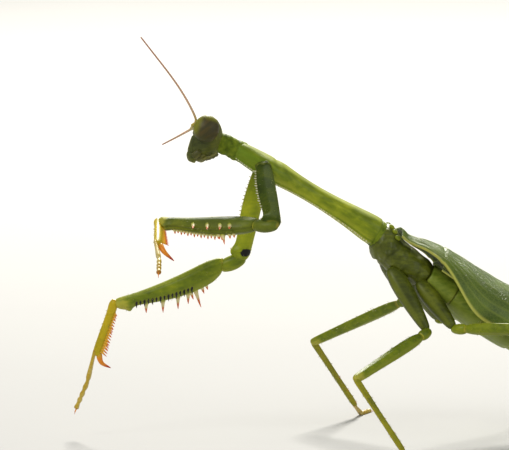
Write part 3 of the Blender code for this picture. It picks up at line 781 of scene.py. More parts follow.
def antenna_finish():
    """Cream at the foot, rosy further out, with fine dark rings."""
    finish = Finish("antenna_rings", **soft_light(0.3, 0.4, (1.0, 0.5, 0.3)))
    along = finish.note("along")
    rings = finish.node("Math", {0: along * 260.0}, operation="SINE")
    colour = finish.ramp(along, (0.0, CREAM), (0.06, STRAW), (0.2, (0.72, 0.52, 0.34)), (1.0, ROSE))
    colour = finish.mix(rings.above(0.2, 0.9) * 0.3, colour, (0.3, 0.14, 0.08))
    finish.set(Base_Color=colour, Roughness=0.45 + finish.noise(6.0) * 0.15)
    return finish.material


def membrane_finish(name, deep, main, lit):
    """Soft skin with fine folds, darker in their hollows and lighter on their crests: painted shade and
    highlight.
    """
    finish = Finish(name, **soft_light(0.25, 0.8), Specular_IOR_Level=0.15)
    folds = finish.noise(1.6, detail=5.0, stretch=(0.35, 1.0, 1.0))
    # painted shade and highlight: the folds that make the bump also colour the hollows deep and the crests
    # lit
    colour = finish.ramp(folds, (0.3, deep), (0.45, main), (0.75, lit))
    finish.set(Base_Color=colour, Roughness=0.5 + folds * 0.15)
    finish.bump(folds, 0.08)
    return finish.material


def wing_finish(name, main, vein, lit):
    """Leathery wing: veins stand out paler, and fine netting lies between them."""
    finish = Finish(name, **soft_light(0.25, 0.4))
    veins, across = finish.note("veins"), finish.note("across")
    net = finish.cells(2.4, feature="DISTANCE_TO_EDGE")
    mesh = 1.0 - net.above(0.02, 0.09)
    blots = finish.noise(0.25, detail=3.0)
    colour = finish.mix(blots.above(0.35, 0.7), main, lit)
    colour = finish.mix(mesh * 0.45, colour, vein)
    colour = finish.mix(veins.above(0.3, 0.9) * 0.7, colour, vein)
    colour = finish.mix((1.0 - across.above(0.02, 0.06)) * 0.9, colour, (0.62, 0.62, 0.12))
    colour = finish.mix(finish.note("stigma") * 0.85, colour, CREAM)
    finish.set(Base_Color=colour, Roughness=0.34 + net * 0.3)
    finish.bump(mesh * 0.6 + finish.noise(6.0) * 0.3, 0.03)
    return finish.material


def floor_finish():
    """Pale, matt and a little cloudy."""
    finish = Finish("pale_floor", Roughness=0.75)
    blots = finish.noise(0.01, detail=4.0)
    colour = finish.mix(blots, (0.42, 0.42, 0.415), (0.46, 0.46, 0.455))
    finish.set(Base_Color=colour)
    finish.bump(finish.noise(0.8), 0.02)
    return finish.material


BODY_SHELL = cuticle("body_plate", DEEP_LEAF, LEAF, LIT_LEAF, joint=LEAF, belly=0.7, grain=PRONOTUM_PITCH)
SADDLE_SHELL = cuticle(
    "saddle_plate",
    (0.1, 0.145, 0.005),
    (0.21, 0.275, 0.005),
    (0.5, 0.54, 0.02),
    joint=(0.13, 0.2, 0.007),
    fore=(0.16, 0.26, 0.006),
    belly=0.7,
    grain=PRONOTUM_PITCH,
)
FLANK_SHELL = cuticle(
    "flank_plate",
    (0.035, 0.045, 0.005),
    (0.08, 0.10, 0.007),
    (0.21, 0.24, 0.015),
    joint=(0.10, 0.13, 0.009),
)
HEAD_SHELL = cuticle(
    "head_plate",
    (0.035, 0.045, 0.010),
    (0.08, 0.095, 0.015),
    (0.24, 0.25, 0.03),
    granules=0.2,
)
LEG_SHELL = cuticle("leg_plate", DEEP_LEAF, LEAF, (0.36, 0.4, 0.012), knee=True, belly=0.5)
# lighter copy of the coxa plate for the far (right) fore coxa: painted backlight glow; its black blot is its
# own colour
BACKLIT_COXA_SHELL = cuticle(
    "coxa_plate",
    (0.16, 0.2, 0.005),
    (0.29, 0.35, 0.005),
    (0.5, 0.52, 0.012),
    blotted=True,
)
SHADED_LEG = cuticle(
    "shaded_leg_plate",
    (0.045, 0.07, 0.010),
    (0.09, 0.13, 0.010),
    (0.26, 0.29, 0.02),
    knee=True,
    shine=0.2,
)
SHADED_COXA = cuticle(
    "shaded_coxa_plate",
    (0.03, 0.045, 0.010),
    (0.055, 0.085, 0.012),
    (0.11, 0.14, 0.015),
    rough=0.65,
    shine=0.04,
)
SHIN_SHELL = cuticle(
    "shin_plate",
    (0.34, 0.28, 0.005),
    (0.58, 0.44, 0.006),
    (0.75, 0.55, 0.015),
    joint=(0.6, 0.36, 0.02),
)
STILT_SHELL = cuticle(
    "stilt_plate",
    (0.15, 0.16, 0.006),
    (0.3, 0.29, 0.008),
    (0.5, 0.43, 0.02),
    joint=(0.45, 0.36, 0.02),
)
BELLY_SHELL = cuticle("belly_plate", DEEP_LEAF, (0.17, 0.24, 0.02), (0.36, 0.42, 0.05), granules=0.1)
MOUTH_SHELL = cuticle(
    "mouth_plate",
    (0.035, 0.04, 0.010),
    (0.09, 0.09, 0.02),
    (0.26, 0.25, 0.06),
    joint=OLIVE,
    granules=0.1,
)
FOOT_SHELL = cuticle(
    "foot_plate",
    (0.4, 0.22, 0.02),
    (0.6, 0.42, 0.04),
    CREAM,
    joint=(0.4, 0.1, 0.02),
    granules=0.1,
)
PALE_SPINES = spine_finish("pale_spines", LIT_LEAF, (0.85, 0.74, 0.36), ORANGE, turn=0.45)
AMBER_SPINES = spine_finish(
    "amber_spines", (0.75, 0.46, 0.02), (0.9, 0.46, 0.03), (0.75, 0.13, 0.004), turn=0.45
)
DARK_SPINES = spine_finish("dark_spines", UMBER, BLACK, UMBER, turn=0.7)
TEETH = spine_finish("coxal_teeth", LIT_LEAF, CREAM, (0.85, 0.82, 0.7), turn=0.5)
CLAW = spine_finish("claw_horn", (0.65, 0.42, 0.02), (0.88, 0.28, 0.006), (0.5, 0.035, 0.004))
HAIRS = spine_finish("hairs", LEAF, (0.42, 0.42, 0.08), (0.62, 0.58, 0.3))
EYE = eye_finish()
AMBER = amber()
ANTENNA = antenna_finish()
MEMBRANE = membrane_finish("soft_membrane", DEEP_LEAF, (0.15, 0.215, 0.010), (0.26, 0.33, 0.02))
# darker copy of the soft membrane for the skin round the near fore coxa: painted shade
SHADED_MEMBRANE = membrane_finish(
    "shaded_socket_membrane", (0.025, 0.035, 0.008), (0.07, 0.095, 0.010), (0.16, 0.19, 0.02)
)
TEGMEN = wing_finish("forewing_leather", (0.075, 0.125, 0.012), (0.2, 0.26, 0.03), (0.13, 0.2, 0.015))
FAN = wing_finish("hindwing_film", (0.2, 0.26, 0.07), (0.35, 0.38, 0.12), (0.28, 0.32, 0.1))


# ---- small models that are copied many times ----
def make_thorn():
    """A thorn of height 1, swollen at its foot and bent a little."""
    rows = (
        (0.0, 1.25, 1.25, 1.25),
        (0.1, 1.05, 1.05, 1.05),
        (0.3, 0.72, 0.76, 0.68),
        (0.6, 0.46, 0.54, 0.38),
        (0.85, 0.24, 0.34, 0.14),
        (1.0, 0.05, 0.12, 0.02),
    )
    thorn = limb("thorn", rows, sides=8)
    mark(thorn)
    return thorn


def make_hair():
    """A thin hair of height 1, bent a little."""
    hair = limb("hair", ((0.0, 1.0, 1.0, 1.0), (0.4, 0.7, 0.8, 0.6), (1.0, 0.12, 0.3, 0.0)), sides=4)
    mark(hair)
    return hair


THORN = make_thorn()
HAIR = make_hair()


# ---- head ----
def make_head():
    """Head capsule: a rounded triangle from the front, flattened behind, with orbits round the eyes."""
    rows = (
        (-3.8, 0.8, 1.0, 0.9),
        (-3.5, 1.2, 1.35, 1.5),
        (-3.1, 1.4, 1.42, 2.0),
        (-2.4, 1.75, 1.42, 2.5),
        (-1.5, 2.1, 1.45, 2.6),
        (-0.5, 2.55, 1.5, 2.55),
        (0.5, 2.75, 1.4, 2.15),
        (1.05, 2.6, 1.1, 1.6),
        (1.45, 2.15, 0.6, 1.15),
        (1.65, 1.4, 0.1, 0.75),
    )

    def relief(co):
        x, y, z = co
        front = smooth((y + 0.2) / 1.2)
        furrow = 0.14 * front * near(abs(x) - 0.85, 0.3) * smooth((z + 1.6) / 0.8)
        brow = 0.16 * front * near(z - 0.55, 0.7) * near(x, 0.8)
        crest = 0.12 * smooth(z) * near(abs(x) - 0.9, 0.5)
        nape = 0.18 * smooth((-y - 1.4) / 0.8) * near(x, 0.35)
        return Vector((x, y - furrow + brow + nape, z + crest))

    whole = {"sides": 20, "levels": 3, "relief": relief}
    shell("head_capsule", rows, HEAD, "head_cuticle", HEAD_SHELL, "head", **whole)


def make_face():
    """Shield, lip and jaws, below the antennae."""
    shield = (
        (-1.35, 0.5, 1.46, SHIELD_BACK),
        (-1.25, 1.15, 1.58, SHIELD_BACK),
        (-0.95, 1.3, 1.66, SHIELD_BACK),
        (-0.55, 0.85, 1.64, SHIELD_BACK),
        (-0.35, 0.3, 1.55, SHIELD_BACK),
    )
    shell("face_shield", shield, HEAD, "head_cuticle", HEAD_SHELL)
    lip_base = (
        (-3.85, 0.95, 1.3, 0.2),
        (-3.6, 1.08, 1.48, 0.0),
        (-2.4, 1.0, 1.56, -0.8),
        (-1.6, 0.88, 1.58, -1.0),
        (-1.45, 0.6, 1.5, -1.0),
    )
    shell("face_lip_base", lip_base, HEAD, "head_cuticle", HEAD_SHELL)
    lip = (
        (-4.92, 0.25, 0.6, -0.1),
        (-4.88, 0.5, 0.85, 0.1),
        (-4.65, 0.8, 1.12, 0.15),
        (-4.25, 1.0, 1.36, 0.15),
        (-3.8, 1.08, 1.45, 0.1),
        (-3.6, 0.9, 1.3, 0.0),
    )
    shell("upper_lip", lip, HEAD, "mouthparts", HEAD_SHELL, "labrum")

    def jaw_notch(co):
        x, y, z = co
        return Vector((x, y - 0.16 * near(x, 0.2), z))

    jaws = (
        (-4.55, 0.45, 0.1, 0.6),
        (-4.45, 0.8, 0.15, 0.85),
        (-4.1, 1.15, 0.15, 1.15),
        (-3.6, 1.35, 0.15, 1.45),
        (-3.2, 1.2, 0.1, 1.5),
    )
    shell("jaws", jaws, HEAD, "mouthparts", MOUTH_SHELL, "mandibles", relief=jaw_notch)
    jaw_base = (
        (0.0, 0.3, 0.35, 0.35),
        (0.15, 0.42, 0.5, 0.5),
        (0.9, 0.4, 0.5, 0.55),
        (1.3, 0.25, 0.3, 0.35),
    )
    for tag, side in (("r", 1), ("l", -1)):
        low = Vector((side * 1.15, 0.35, -4.2))
        place = along_line(low, low + Vector((side * 0.25, -0.5, 1.0)), Vector((0, -1, 0)))
        shell(f"jaw_base_{tag}", jaw_base, HEAD @ place, "mouthparts", MOUTH_SHELL, sides=12)


def make_ocelli():
    """Three small domes on the brow."""
    dome = (ring(-0.1, 0.2), ring(0.08, 0.22), ring(0.2, 0.15))
    for i, (x, z) in enumerate(((0.0, 0.62), (0.42, 0.2), (-0.42, 0.2))):
        place = Matrix.Translation((x, 1.42 - 0.35 * z, z)) @ Matrix.Rotation(radians(-75), 4, "X")
        shell(f"ocellus_{i + 1}", dome, HEAD @ place, "eye", AMBER, sides=12)


def make_eyes():
    """Each eye is a tall dome of many small facets, with a painted highlight that makes it paler on its rim
    where it meets the head, and on its front and top.
    """
    for tag, side in (("l", -1), ("r", 1)):
        ball = bpy.ops.mesh.primitive_ico_sphere_add
        eye = added(f"compound_eye_{tag}", ball, subdivisions=5, radius=1.0)
        tops = len(eye.data.vertices)
        edit(bpy.ops.mesh.subdivide, number_cuts=1, smoothness=1.0)
        rim, low = [], []
        for i, vertex in enumerate(eye.data.vertices):
            way = vertex.co.normalized()
            low.append(-way.z)
            x, y, z = way * (1.0 + FACET if i < tops else 1.0)
            front, top = smooth((way.y + 0.1) / 1.1), smooth((way.z - 0.2) / 0.9)
            # rim: how strongly the painted highlight pales this corner, on the inner side, the front and the
            # top
            rim.append(max(-way.x * side, front * 0.9, top * 0.9))
            x = x * (1.0 - 0.12 * z) + side * 0.06 * z
            vertex.co = (x * EYE_RADII[0], y * EYE_RADII[1] * (1 - 0.05 * z), z * EYE_RADII[2])
        note(eye, "rim", rim)
        note(eye, "low", low)
        place = HEAD @ Matrix.Translation((side * EYE_OFFSET, 0, 0))
        dress(lay(eye, place), "eye", EYE, f"eye_{tag}")


def make_palps():
    """Two pairs of jointed feelers under the jaws."""
    path = ((0.8, -1.0, -4.0), (1.5, -1.5, -3.65), (1.85, -2.1, -3.15), (1.7, -2.6, -2.5))
    lower = ((0.5, -2.4, -2.9), (0.75, -1.9, -3.45), (0.6, -1.3, -3.85), (0.35, -0.9, -4.0))
    for tag, side in SIDES:
        for name, bends, radius, joints, nodes in (
            ("cheek_palp", path[::-1], 0.27, 5, (f"palp_{tag}",)),
            ("lower_palp", lower, 0.2, 3, ()),
        ):
            line, reach = path_line([in_head(side * left, forward, up) for left, forward, up in bends])
            rows = []
            for i in range(joints):
                for share, swell in ((0.06, 0.7), (0.5, 0.95), (0.9, 1.1), (0.98, 0.72)):
                    rows.append(ring((i + share) / joints * reach, radius * swell * (1 - 0.12 * i / joints)))
            shell(f"{name}_{tag}", rows, line, "mouthparts", MOUTH_SHELL, *nodes, sides=10, levels=1)


def make_antennae():
    """A thick first joint, a short second one, and a long lash of small rings."""
    for tag, side in SIDES:
        left, forward, up = side * ANTENNA_BASE.x, ANTENNA_BASE.y, ANTENNA_BASE.z
        bends = [in_head(left, forward - 0.5, up), in_head(left, forward, up + 0.1)]
        line, reach = path_line(bends + [Vector(p) for p in ANTENNA_PATHS[tag]])
        first = ((0.0, 0.26), (0.3, 0.3), (1.2, 0.27), (1.35, 0.19), (1.45, 0.2), (1.8, 0.2), (1.9, 0.15))
        rows = [ring(*row) for row in first]
        for i in range(ANTENNA_RINGS):
            step = (reach - ANTENNA_FOOT) / ANTENNA_RINGS
            start = ANTENNA_FOOT + (reach - ANTENNA_FOOT) * i / ANTENNA_RINGS
            radius = 0.17 - 0.08 * i / ANTENNA_RINGS
            for share, swell in ((0.0, 0.9), (0.8, 1.08)):
                rows.append(ring(start + step * share, radius * swell))
        shell(f"antenna_lash_{tag}", rows, line, "antenna", ANTENNA, f"antenna_{tag}", sides=8, levels=1)
        cup = (ring(-0.2, 0.5), ring(0.1, 0.48), ring(0.2, 0.36))
        place = along_line(in_head(left, 1.2, up), in_head(left * 1.2, 2.2, up + 0.2), DOWN)
        shell(f"antenna_socket_{tag}", cup, place, "head_cuticle", HEAD_SHELL, sides=12)


# ---- trunk ----
def make_neck():
    """Soft ringed skin between the head and the first thorax segment."""
    start, end = in_head(0, -1.2, -0.9), PRONOTUM_FRONT + Vector((0, 1.4, -0.7))
    length = (end - start).length
    rows = []
    for i in range(NECK_RINGS):
        share = i / (NECK_RINGS - 1)
        swell = 1.0 + (0.04 if i % 2 else -0.06)
        wide = (1.35 + 0.45 * share) * swell
        rows.append((length * share, wide, (1.25 + 0.07 * share) * swell, (1.4 + 0.1 * share) * swell))

    def folds(co):
        fold = 1 + 0.12 * noise.noise(Vector((co.x * 0.9, co.y * 0.9, co.z * 0.8 + 7.0)))
        return Vector((co.x * fold, co.y * fold, co.z))

    place = along_line(start, end, DOWN)
    shell("neck_skin", rows, place, "membrane", MEMBRANE, "neck", sides=20, relief=folds)


def make_pronotum():
    """Long saddle over the first thorax segment: keel, cross groove and thin outer margins."""
    rows = [(share * PRONOTUM_LENGTH, wide, high, deep) for share, wide, high, deep in PRONOTUM]

    def relief(co):
        share = co.z / PRONOTUM_LENGTH
        row = read_rows(PRONOTUM, share)
        x, y = squared(co, row, 2.25)
        wide, high, deep = row
        across = x / wide
        groove = 0.14 * near(share - 0.25 - 0.02 * across**2, 0.018) * smooth(y / high + 0.6)
        keel = 0.08 * near(across, 0.12) * smooth(y / high) * smooth((share - 0.27) / 0.05)
        dent = 0.06 * noise.noise(Vector((x * 0.8, y * 0.8, co.z * 0.35)))
        margin = near(y / deep + 0.8, 0.15)
        return Vector((x * (1 + 0.2 * margin + dent), y - groove + keel, co.z))

    pitch = radians(PRONOTUM_PITCH)
    end = PRONOTUM_FRONT + Vector((0, cos(pitch), -sin(pitch)))
    place = along_line(PRONOTUM_FRONT, end, DOWN)
    shell("pronotum", rows, place, "trunk_cuticle", SADDLE_SHELL, "prothorax", sides=28, relief=relief)
    draw = Random(7)
    beads = []
    for side in (1, -1):
        for i in range(DENTICLES):
            share = 0.03 + 0.93 * (i + draw.uniform(-0.35, 0.35)) / (DENTICLES - 1)
            wide, _, deep = read_rows(PRONOTUM, share)
            size = draw.uniform(0.09, 0.2)
            base = Vector((side * wide * 0.76, -0.82 * deep, share * PRONOTUM_LENGTH))
            tip = base + Vector((side * size, -size, 0))
            beads.append(TO_MODEL @ place @ thorn_place(base, tip, 0.09, Vector((0, 0, 1))))
    dress(copies("pronotum_denticles", THORN, beads), "trunk_cuticle", TEETH)


def on_back(name, rows, slot, finish, *nodes, start=0.0, length=1.0, **settings):
    """A ring of the trunk along the line of the back."""
    made = [(start + length * share, wide, high, deep) for share, wide, high, deep in rows]
    return shell(name, made, back_line, slot, finish, *nodes, sides=24, **settings)


def make_thorax():
    """Soft collar, the two rear thorax plates with folded flanks, and the hinges of the forewings."""

    def folds(co):
        x, y, z = co
        ripple = noise.noise(Vector((x * 0.5, y * 0.9, z * 1.1))) * 0.22
        ripple += noise.noise(Vector((x * 1.4, y * 1.8, z * 2.0 + 3.0))) * 0.1
        seam = 0.1 * near(z - 3.1 - 0.35 * y, 0.3) * smooth(0.6 - y)
        seam += 0.08 * near(z - 1.5 + 0.5 * y, 0.3) * smooth(0.9 - y)
        scale = 1 + (ripple - seam) / 3.0
        return Vector((x * scale, y * scale, z))

    collar = [(-0.9, 1.95, 1.45, 1.6)]
    for i in range(8):
        swell = 0.04 if i % 2 else -0.03
        collar.append((-0.6 + 0.22 * i, 2.26 + swell, 1.76 + swell, 1.95 + 0.03 * i + swell))
    on_back("thorax_collar_skin", collar, "membrane", MEMBRANE)
    whole = {"length": THORAX_LENGTH, "levels": 3, "relief": folds}
    on_back("mesothorax_plate", MESOTHORAX, "trunk_cuticle", FLANK_SHELL, "mesothorax", **whole)
    on_back("metathorax_plate", METATHORAX, "trunk_cuticle", FLANK_SHELL, "metathorax", **whole)
    hinges = ((0.75, 62, 0.34), (1.35, 48, 0.3), (2.1, 40, 0.36))
    for tag, side in SIDES:
        for i, (distance, turn, size) in enumerate(hinges):
            place, along, up = back_line(distance)
            wide, high, _ = read_rows(MESOTHORAX, distance / THORAX_LENGTH)
            across, upright = cos(radians(turn)) * side, sin(radians(turn))
            out = Vector((across, 0, 0)) + up * upright
            base = place + Vector((across * wide, 0, 0)) + up * upright * high
            rows = (
                (0.0, size, size * 1.5, size),
                (0.25, size, size * 1.4, size),
                (0.42, size * 0.6, size, size * 0.6),
            )
            seat = along_line(base - out * 0.15, base + out, along)
            shell(f"wing_hinge_{tag}_{i + 1}", rows, seat, "trunk_cuticle", BODY_SHELL, sides=12)


def make_abdomen():
    """Each ring is fuller at its rear edge, and overlaps the next one's front."""
    swells = (
        (-0.05, -0.25),
        (0.02, -0.08),
        (0.3, 0.0),
        (0.75, 0.08),
        (0.97, 0.1),
        (1.0, 0.0),
        (1.0, -0.3),
    )

    def plates(co):
        x, y, z = co
        groove = 0.1 * near(abs(x) - 2.4, 0.25) * smooth(-y - 0.6)
        return Vector((x, y + groove, z))

    whole = {"start": ABDOMEN_START, "length": ABDOMEN_LENGTH, "relief": plates}
    last = len(ABDOMEN_CUTS) - 2
    for i in range(last + 1):
        a, b = ABDOMEN_CUTS[i], ABDOMEN_CUTS[i + 1]
        step = b - a
        stations = [(a + part * step, fuller) for part, fuller in swells]
        if i == last:
            stations = stations[:4] + [(b, 0.0)]
        rows = []
        for share, fuller in stations:
            wide, high, deep = (max(r + fuller, 0.1) for r in read_rows(ABDOMEN, max(share, 0.0)))
            rows.append((share, wide, high, deep))
        name, node, slot = f"abdomen_ring_{i + 1}", f"abdomen_{i + 1}", "membrane"
        if i == last:
            name, node, slot = "abdomen_end", "abdomen_tip", "trunk_cuticle"
        on_back(name, rows, slot, BELLY_SHELL, node, **whole)


def make_cerci():
    """A pair of short ringed feelers at the abdomen's end."""
    for tag, side in SIDES:
        place, along, up = back_line(THORAX_LENGTH + ABDOMEN_LENGTH * 0.93)
        out = Vector((side, 0, 0))
        root = place + out * 1.1 + up * 0.1
        end = root + out * 2.0 + along * 4.0
        length = (end - root).length
        rows = []
        for i in range(CERCUS_RINGS):
            radius = 0.36 - 0.018 * i
            for share, swell in ((0.05, 0.85), (0.8, 1.05)):
                wide, tall = radius * swell, radius * swell * 0.9
                rows.append(((i + share) / CERCUS_RINGS * length, wide, tall, tall))
        name, node, seat = f"tail_feeler_{tag}", f"cercus_{tag}", along_line(root, end, -up)
        shell(name, rows, seat, "mouthparts", FOOT_SHELL, node, sides=10, levels=1)


# ---- wings ----
def wing_cover(distance):
    """Half width and height of the trunk under the wings."""
    share = (distance - THORAX_LENGTH) / ABDOMEN_LENGTH
    if share >= 0:
        wide, high, _ = read_rows(ABDOMEN, min(share, 0.9))
        return wide + 0.12, high + 0.12
    wide, high, _ = read_rows(MESOTHORAX[:-1] + METATHORAX[1:], max(distance / THORAX_LENGTH, 0.3))
    return max(wide, 3.3), high


def wing(name, side, reach, turns, lift, veins, relief, size):
    """A thin sheet wrapped over the back, with its veins raised. Turns gives its two edges in degrees."""
    grid = {"x_subdivisions": size[0], "y_subdivisions": size[1], "size": 1.0}
    sheet = added(name, bpy.ops.mesh.primitive_grid_add, **grid)
    notes = {"across": [], "veins": [], "stigma": []}
    for vertex in sheet.data.vertices:
        share, across = vertex.co.x + 0.5, vertex.co.y + 0.5
        share = share * (1.2 - 0.2 * share)
        distance = reach[0] + (reach[1] - reach[0]) * share
        place, _, up = back_line(distance)
        wide, high = wing_cover(distance)
        start, end = turns(share)
        turn = radians(start + (end - start) * across)
        vein = veins(share, across)
        level = lift(distance) + 0.5 + relief * (vein - 1.0)
        spot = Vector((cos(turn) * (wide + level) * side, 0, 0)) + up * sin(turn) * (high + level)
        vertex.co = TO_MODEL @ (place + spot)
        notes["across"].append(across)
        notes["veins"].append(vein)
        off_spot = ((share - 0.5) / 0.05) ** 2 + ((across - 0.24) / 0.035) ** 2
        notes["stigma"].append(max(0.0, 1 - off_spot) ** 0.5)
    for kind, values in notes.items():
        note(sheet, kind, values)
    if side > 0:
        edit(bpy.ops.mesh.flip_normals)
    apply(sheet, "SOLIDIFY", thickness=WING_THICKNESS * MM, offset=-1.0)
    return sheet


def forewing_veins(share, across):
    """Long veins that leave the root together and fan out."""
    height = 0.0
    for i, (root, tip) in enumerate(LONG_VEINS):
        line = root + (tip - root) * share**0.8
        thick = 0.014 if i in (1, 2) else 0.009
        height = max(height, 1 - abs(across - line) / thick * 0.5)
    return max(height, 0.0)


def fan_veins(share, across):
    """Pleats of the folded hindwing."""
    pleat = abs((across * 9 + share * 0.6) % 1 - 0.5) * 2
    return max(0.0, (pleat - 0.5) * 2)


def make_wings():
    """Hindwings folded under the right forewing, which lies under the left one."""

    def fan_lift(distance):
        return WING_SEAT

    def right_lift(distance):
        return WING_SEAT + WING_STEP * smooth((distance - 5.0) / 4.0)

    def left_lift(distance):
        return right_lift(distance) + WING_STEP * smooth((distance - 3.2) / 2.8)

    def tegmen_turns(share):
        tip = max(0.0, (share - 0.68) / 0.32) ** 2
        outer = -14 + 56 * (1 - smooth((share - 0.08) / 0.26)) + 86 * tip
        inner = 84 + 32 * smooth((share - 0.06) / 0.14) - 18 * tip
        return outer, inner

    def fan_turns(share):
        tip = max(0.0, (share - 0.6) / 0.4) ** 2
        return 30 + 38 * tip, 87

    for tag, side, lift in (("l", 1, left_lift), ("r", -1, right_lift)):
        tegmen, fan = (2.2, WING_TIP), (9.4, WING_TIP + 1.2)
        sheet = wing(f"forewing_{tag}", side, tegmen, tegmen_turns, lift, forewing_veins, 0.07, (150, 44))
        dress(sheet, "forewing", TEGMEN, f"tegmen_{tag}")
        sheet = wing(f"folded_hindwing_{tag}", side, fan, fan_turns, fan_lift, fan_veins, 0.12, (90, 40))
        dress(sheet, "hindwing", FAN, f"hindwing_{tag}")


# ---- legs ----
def underside(axis, towards):
    """The way square to an axis that points most nearly towards something."""
    axis = axis.normalized()
    return (towards - axis * towards.dot(axis)).normalized()


def segment(name, node, start, end, belly, rows, slot, finish, relief=None, **settings):
    """One stiff length of a leg; its rows' shares are of the way from start to end."""
    length = (end - start).length
    made = [(share * length, wide, high, deep) for share, wide, high, deep in rows]
    if relief:
        settings["relief"] = lambda co: relief(co, co.z / length)
    return shell(name, made, along_line(start, end, belly), slot, finish, node, **settings)


def spine_pairs(start, end, belly, profile, rows, outwards, manner):
    """Foot and tip of every spine in a row that stands on one side of the belly."""
    lean, tilt, across, down, size = manner
    axis = (end - start).normalized()
    pairs = []
    for share, length in rows:
        wide, _, deep = read_rows(profile, share)
        base = start.lerp(end, share) + outwards * wide * across + belly * deep * down
        aim = (belly + outwards * tilt + axis * lean).normalized()
        pairs.append((base, base + aim * (length + deep * 0.2) * size))
    return pairs


def thorns(name, pairs, radius, finish, slot, lean):
    """One piece of thorns that stand on pairs of foot and tip."""
    places = [TO_MODEL @ thorn_place(base, tip, radius, lean) for base, tip in pairs]
    return dress(copies(name, THORN, places), slot, finish)


def hairs(name, start, end, belly, profile, count, length, slot, seed):
    """Short hairs that lean along a segment, all round it."""
    draw = Random(seed)
    place = TO_MODEL @ along_line(start, end, belly)
    reach = (end - start).length
    places, roots = [], []
    for _ in range(count):
        share, turn = draw.uniform(*HAIR_SPAN), draw.uniform(0, 2 * pi)
        roots.append((turn / (2 * pi), share))
        wide, high, deep = read_rows(profile, share)
        tall, middle = (high + deep) / 2, (high - deep) / 2
        out = Vector((cos(turn), sin(turn), 0))
        base = Vector((cos(turn) * wide * 0.97, middle + sin(turn) * tall * 0.97, share * reach))
        way = (out + Vector((0, 0, draw.uniform(0.5, 1.1)))).normalized()
        tip = base + way * length * draw.uniform(0.6, 1.1)
        places.append(place @ thorn_place(base, tip, HAIR_RADIUS, out))
    return dress(copies(name, HAIR, places, roots), slot, HAIRS)


def thigh_relief(co, share):
    """Shoulders under a low ridge, a grooved underside between the spines, and lobes at the knee."""
    row = read_rows(FORE_FEMUR, share)
    x, y = squared(co, row, 2.6)
    wide, high, deep = row
    ridge = smooth((y / high - 0.5) / 0.5)
    under = smooth((-y / deep - 0.35) / 0.65)
    groove = 0.15 * under * near(x, wide * 0.4)
    lobe = 0.3 * near(share - 0.905, 0.03) * under
    slant = 0.5 * y * (1 - smooth((share - 0.13) / 0.14))
    return Vector((x * (1 - 0.35 * ridge - 0.3 * under), y + groove - lobe, co.z - slant))


def coxa_relief(co, share):
    """Three-sided, with its sharpest edge in front."""
    row = read_rows(FORE_COXA, share)
    x, y = squared(co, row, 2.5)
    front = smooth((y / row[1] - 0.3) / 0.7)
    back = smooth((-y / row[2] - 0.4) / 0.6)
    end = smooth((share - 0.86) / 0.05)
    return Vector((x * (1 - 0.45 * front * (1 - end) - 0.2 * back), y, co.z))


def socket_skin(tag, root, hip, belly, finish):
    """Low uneven rolls of skin drawn tight round the top of a fore coxa."""
    rows = (
        (-0.2, 0.6, 0.75, 0.75),
        (0.0, 0.85, 1.05, 1.0),
        (0.14, 0.98, 1.2, 1.15),
        (0.3, 0.9, 1.1, 1.05),
        (0.46, 0.98, 1.22, 1.16),
        (0.64, 0.88, 1.12, 1.06),
        (0.8, 0.7, 0.95, 0.9),
    )
    length = (hip - root).length

    def rolls(co):
        x, y, z = coxa_relief(co, co.z / length)
        wave = noise.noise(Vector((x * 1.4, y * 1.4, 1.7)))
        return Vector((x * (1 + 0.06 * wave), y * (1 + 0.06 * wave), z + 0.5 * wave))

    place = along_line(root, hip, belly)
    shell(f"fore_socket_skin_{tag}", rows, place, "membrane", finish, sides=24, relief=rolls)


def make_coxa(tag, root, hip, front, finish, folds):
    """First length of a foreleg, which hangs from the thorax: skin round its top, and teeth in front."""
    socket_skin(tag, root, hip, -front, folds)
    name, node = f"fore_coxa_shell_{tag}", f"fore_coxa_{tag}"
    whole = {"sides": 24, "levels": 3, "relief": coxa_relief, "blot": COXAL_BLOT}
    segment(name, node, root, hip, -front, FORE_COXA, FORELEG, finish, **whole)
    teeth = []
    for share, length in COXAL_TEETH:
        _, high, _ = read_rows(FORE_COXA, share)
        base = root.lerp(hip, share) + front * (high - 0.25)
        teeth.append((base, base + front * (length + 0.3)))
    thorns(f"fore_coxa_teeth_{tag}", teeth, 0.15, TEETH, FORELEG, hip - root)


def make_thigh(tag, hip, knee, belly, outer, finish, inner_finish):
    """Trochanter and femur, with three rows of spines under the femur."""
    name, node = f"fore_trochanter_shell_{tag}", f"fore_trochanter_{tag}"
    segment(name, node, hip, knee, belly, FORE_TROCHANTER, FORELEG, finish, sides=20)
    name, node = f"fore_femur_shell_{tag}", f"fore_femur_{tag}"
    segment(name, node, hip, knee, belly, FORE_FEMUR, FORELEG, finish, sides=32, relief=thigh_relief)
    outer_radius, inner_radius = {"l": (0.27, 0.25), "r": (0.34, 0.2)}[tag]
    whole = (hip, knee, belly, FORE_FEMUR)
    pale = spine_pairs(*whole, EXTERNAL_SPINES[tag], outer, OUTER_ROW[tag])
    pale += spine_pairs(*whole, DISCOIDAL_SPINES, -outer, MIDDLE_ROW[tag])
    thorns(f"femur_outer_spines_{tag}", pale, outer_radius, PALE_SPINES, FORELEG, hip - knee)
    row = spine_pairs(*whole, INTERNAL_SPINES, -outer, INNER_ROW[tag])
    thorns(f"femur_inner_spines_{tag}", row, inner_radius, inner_finish, FORELEG, hip - knee)


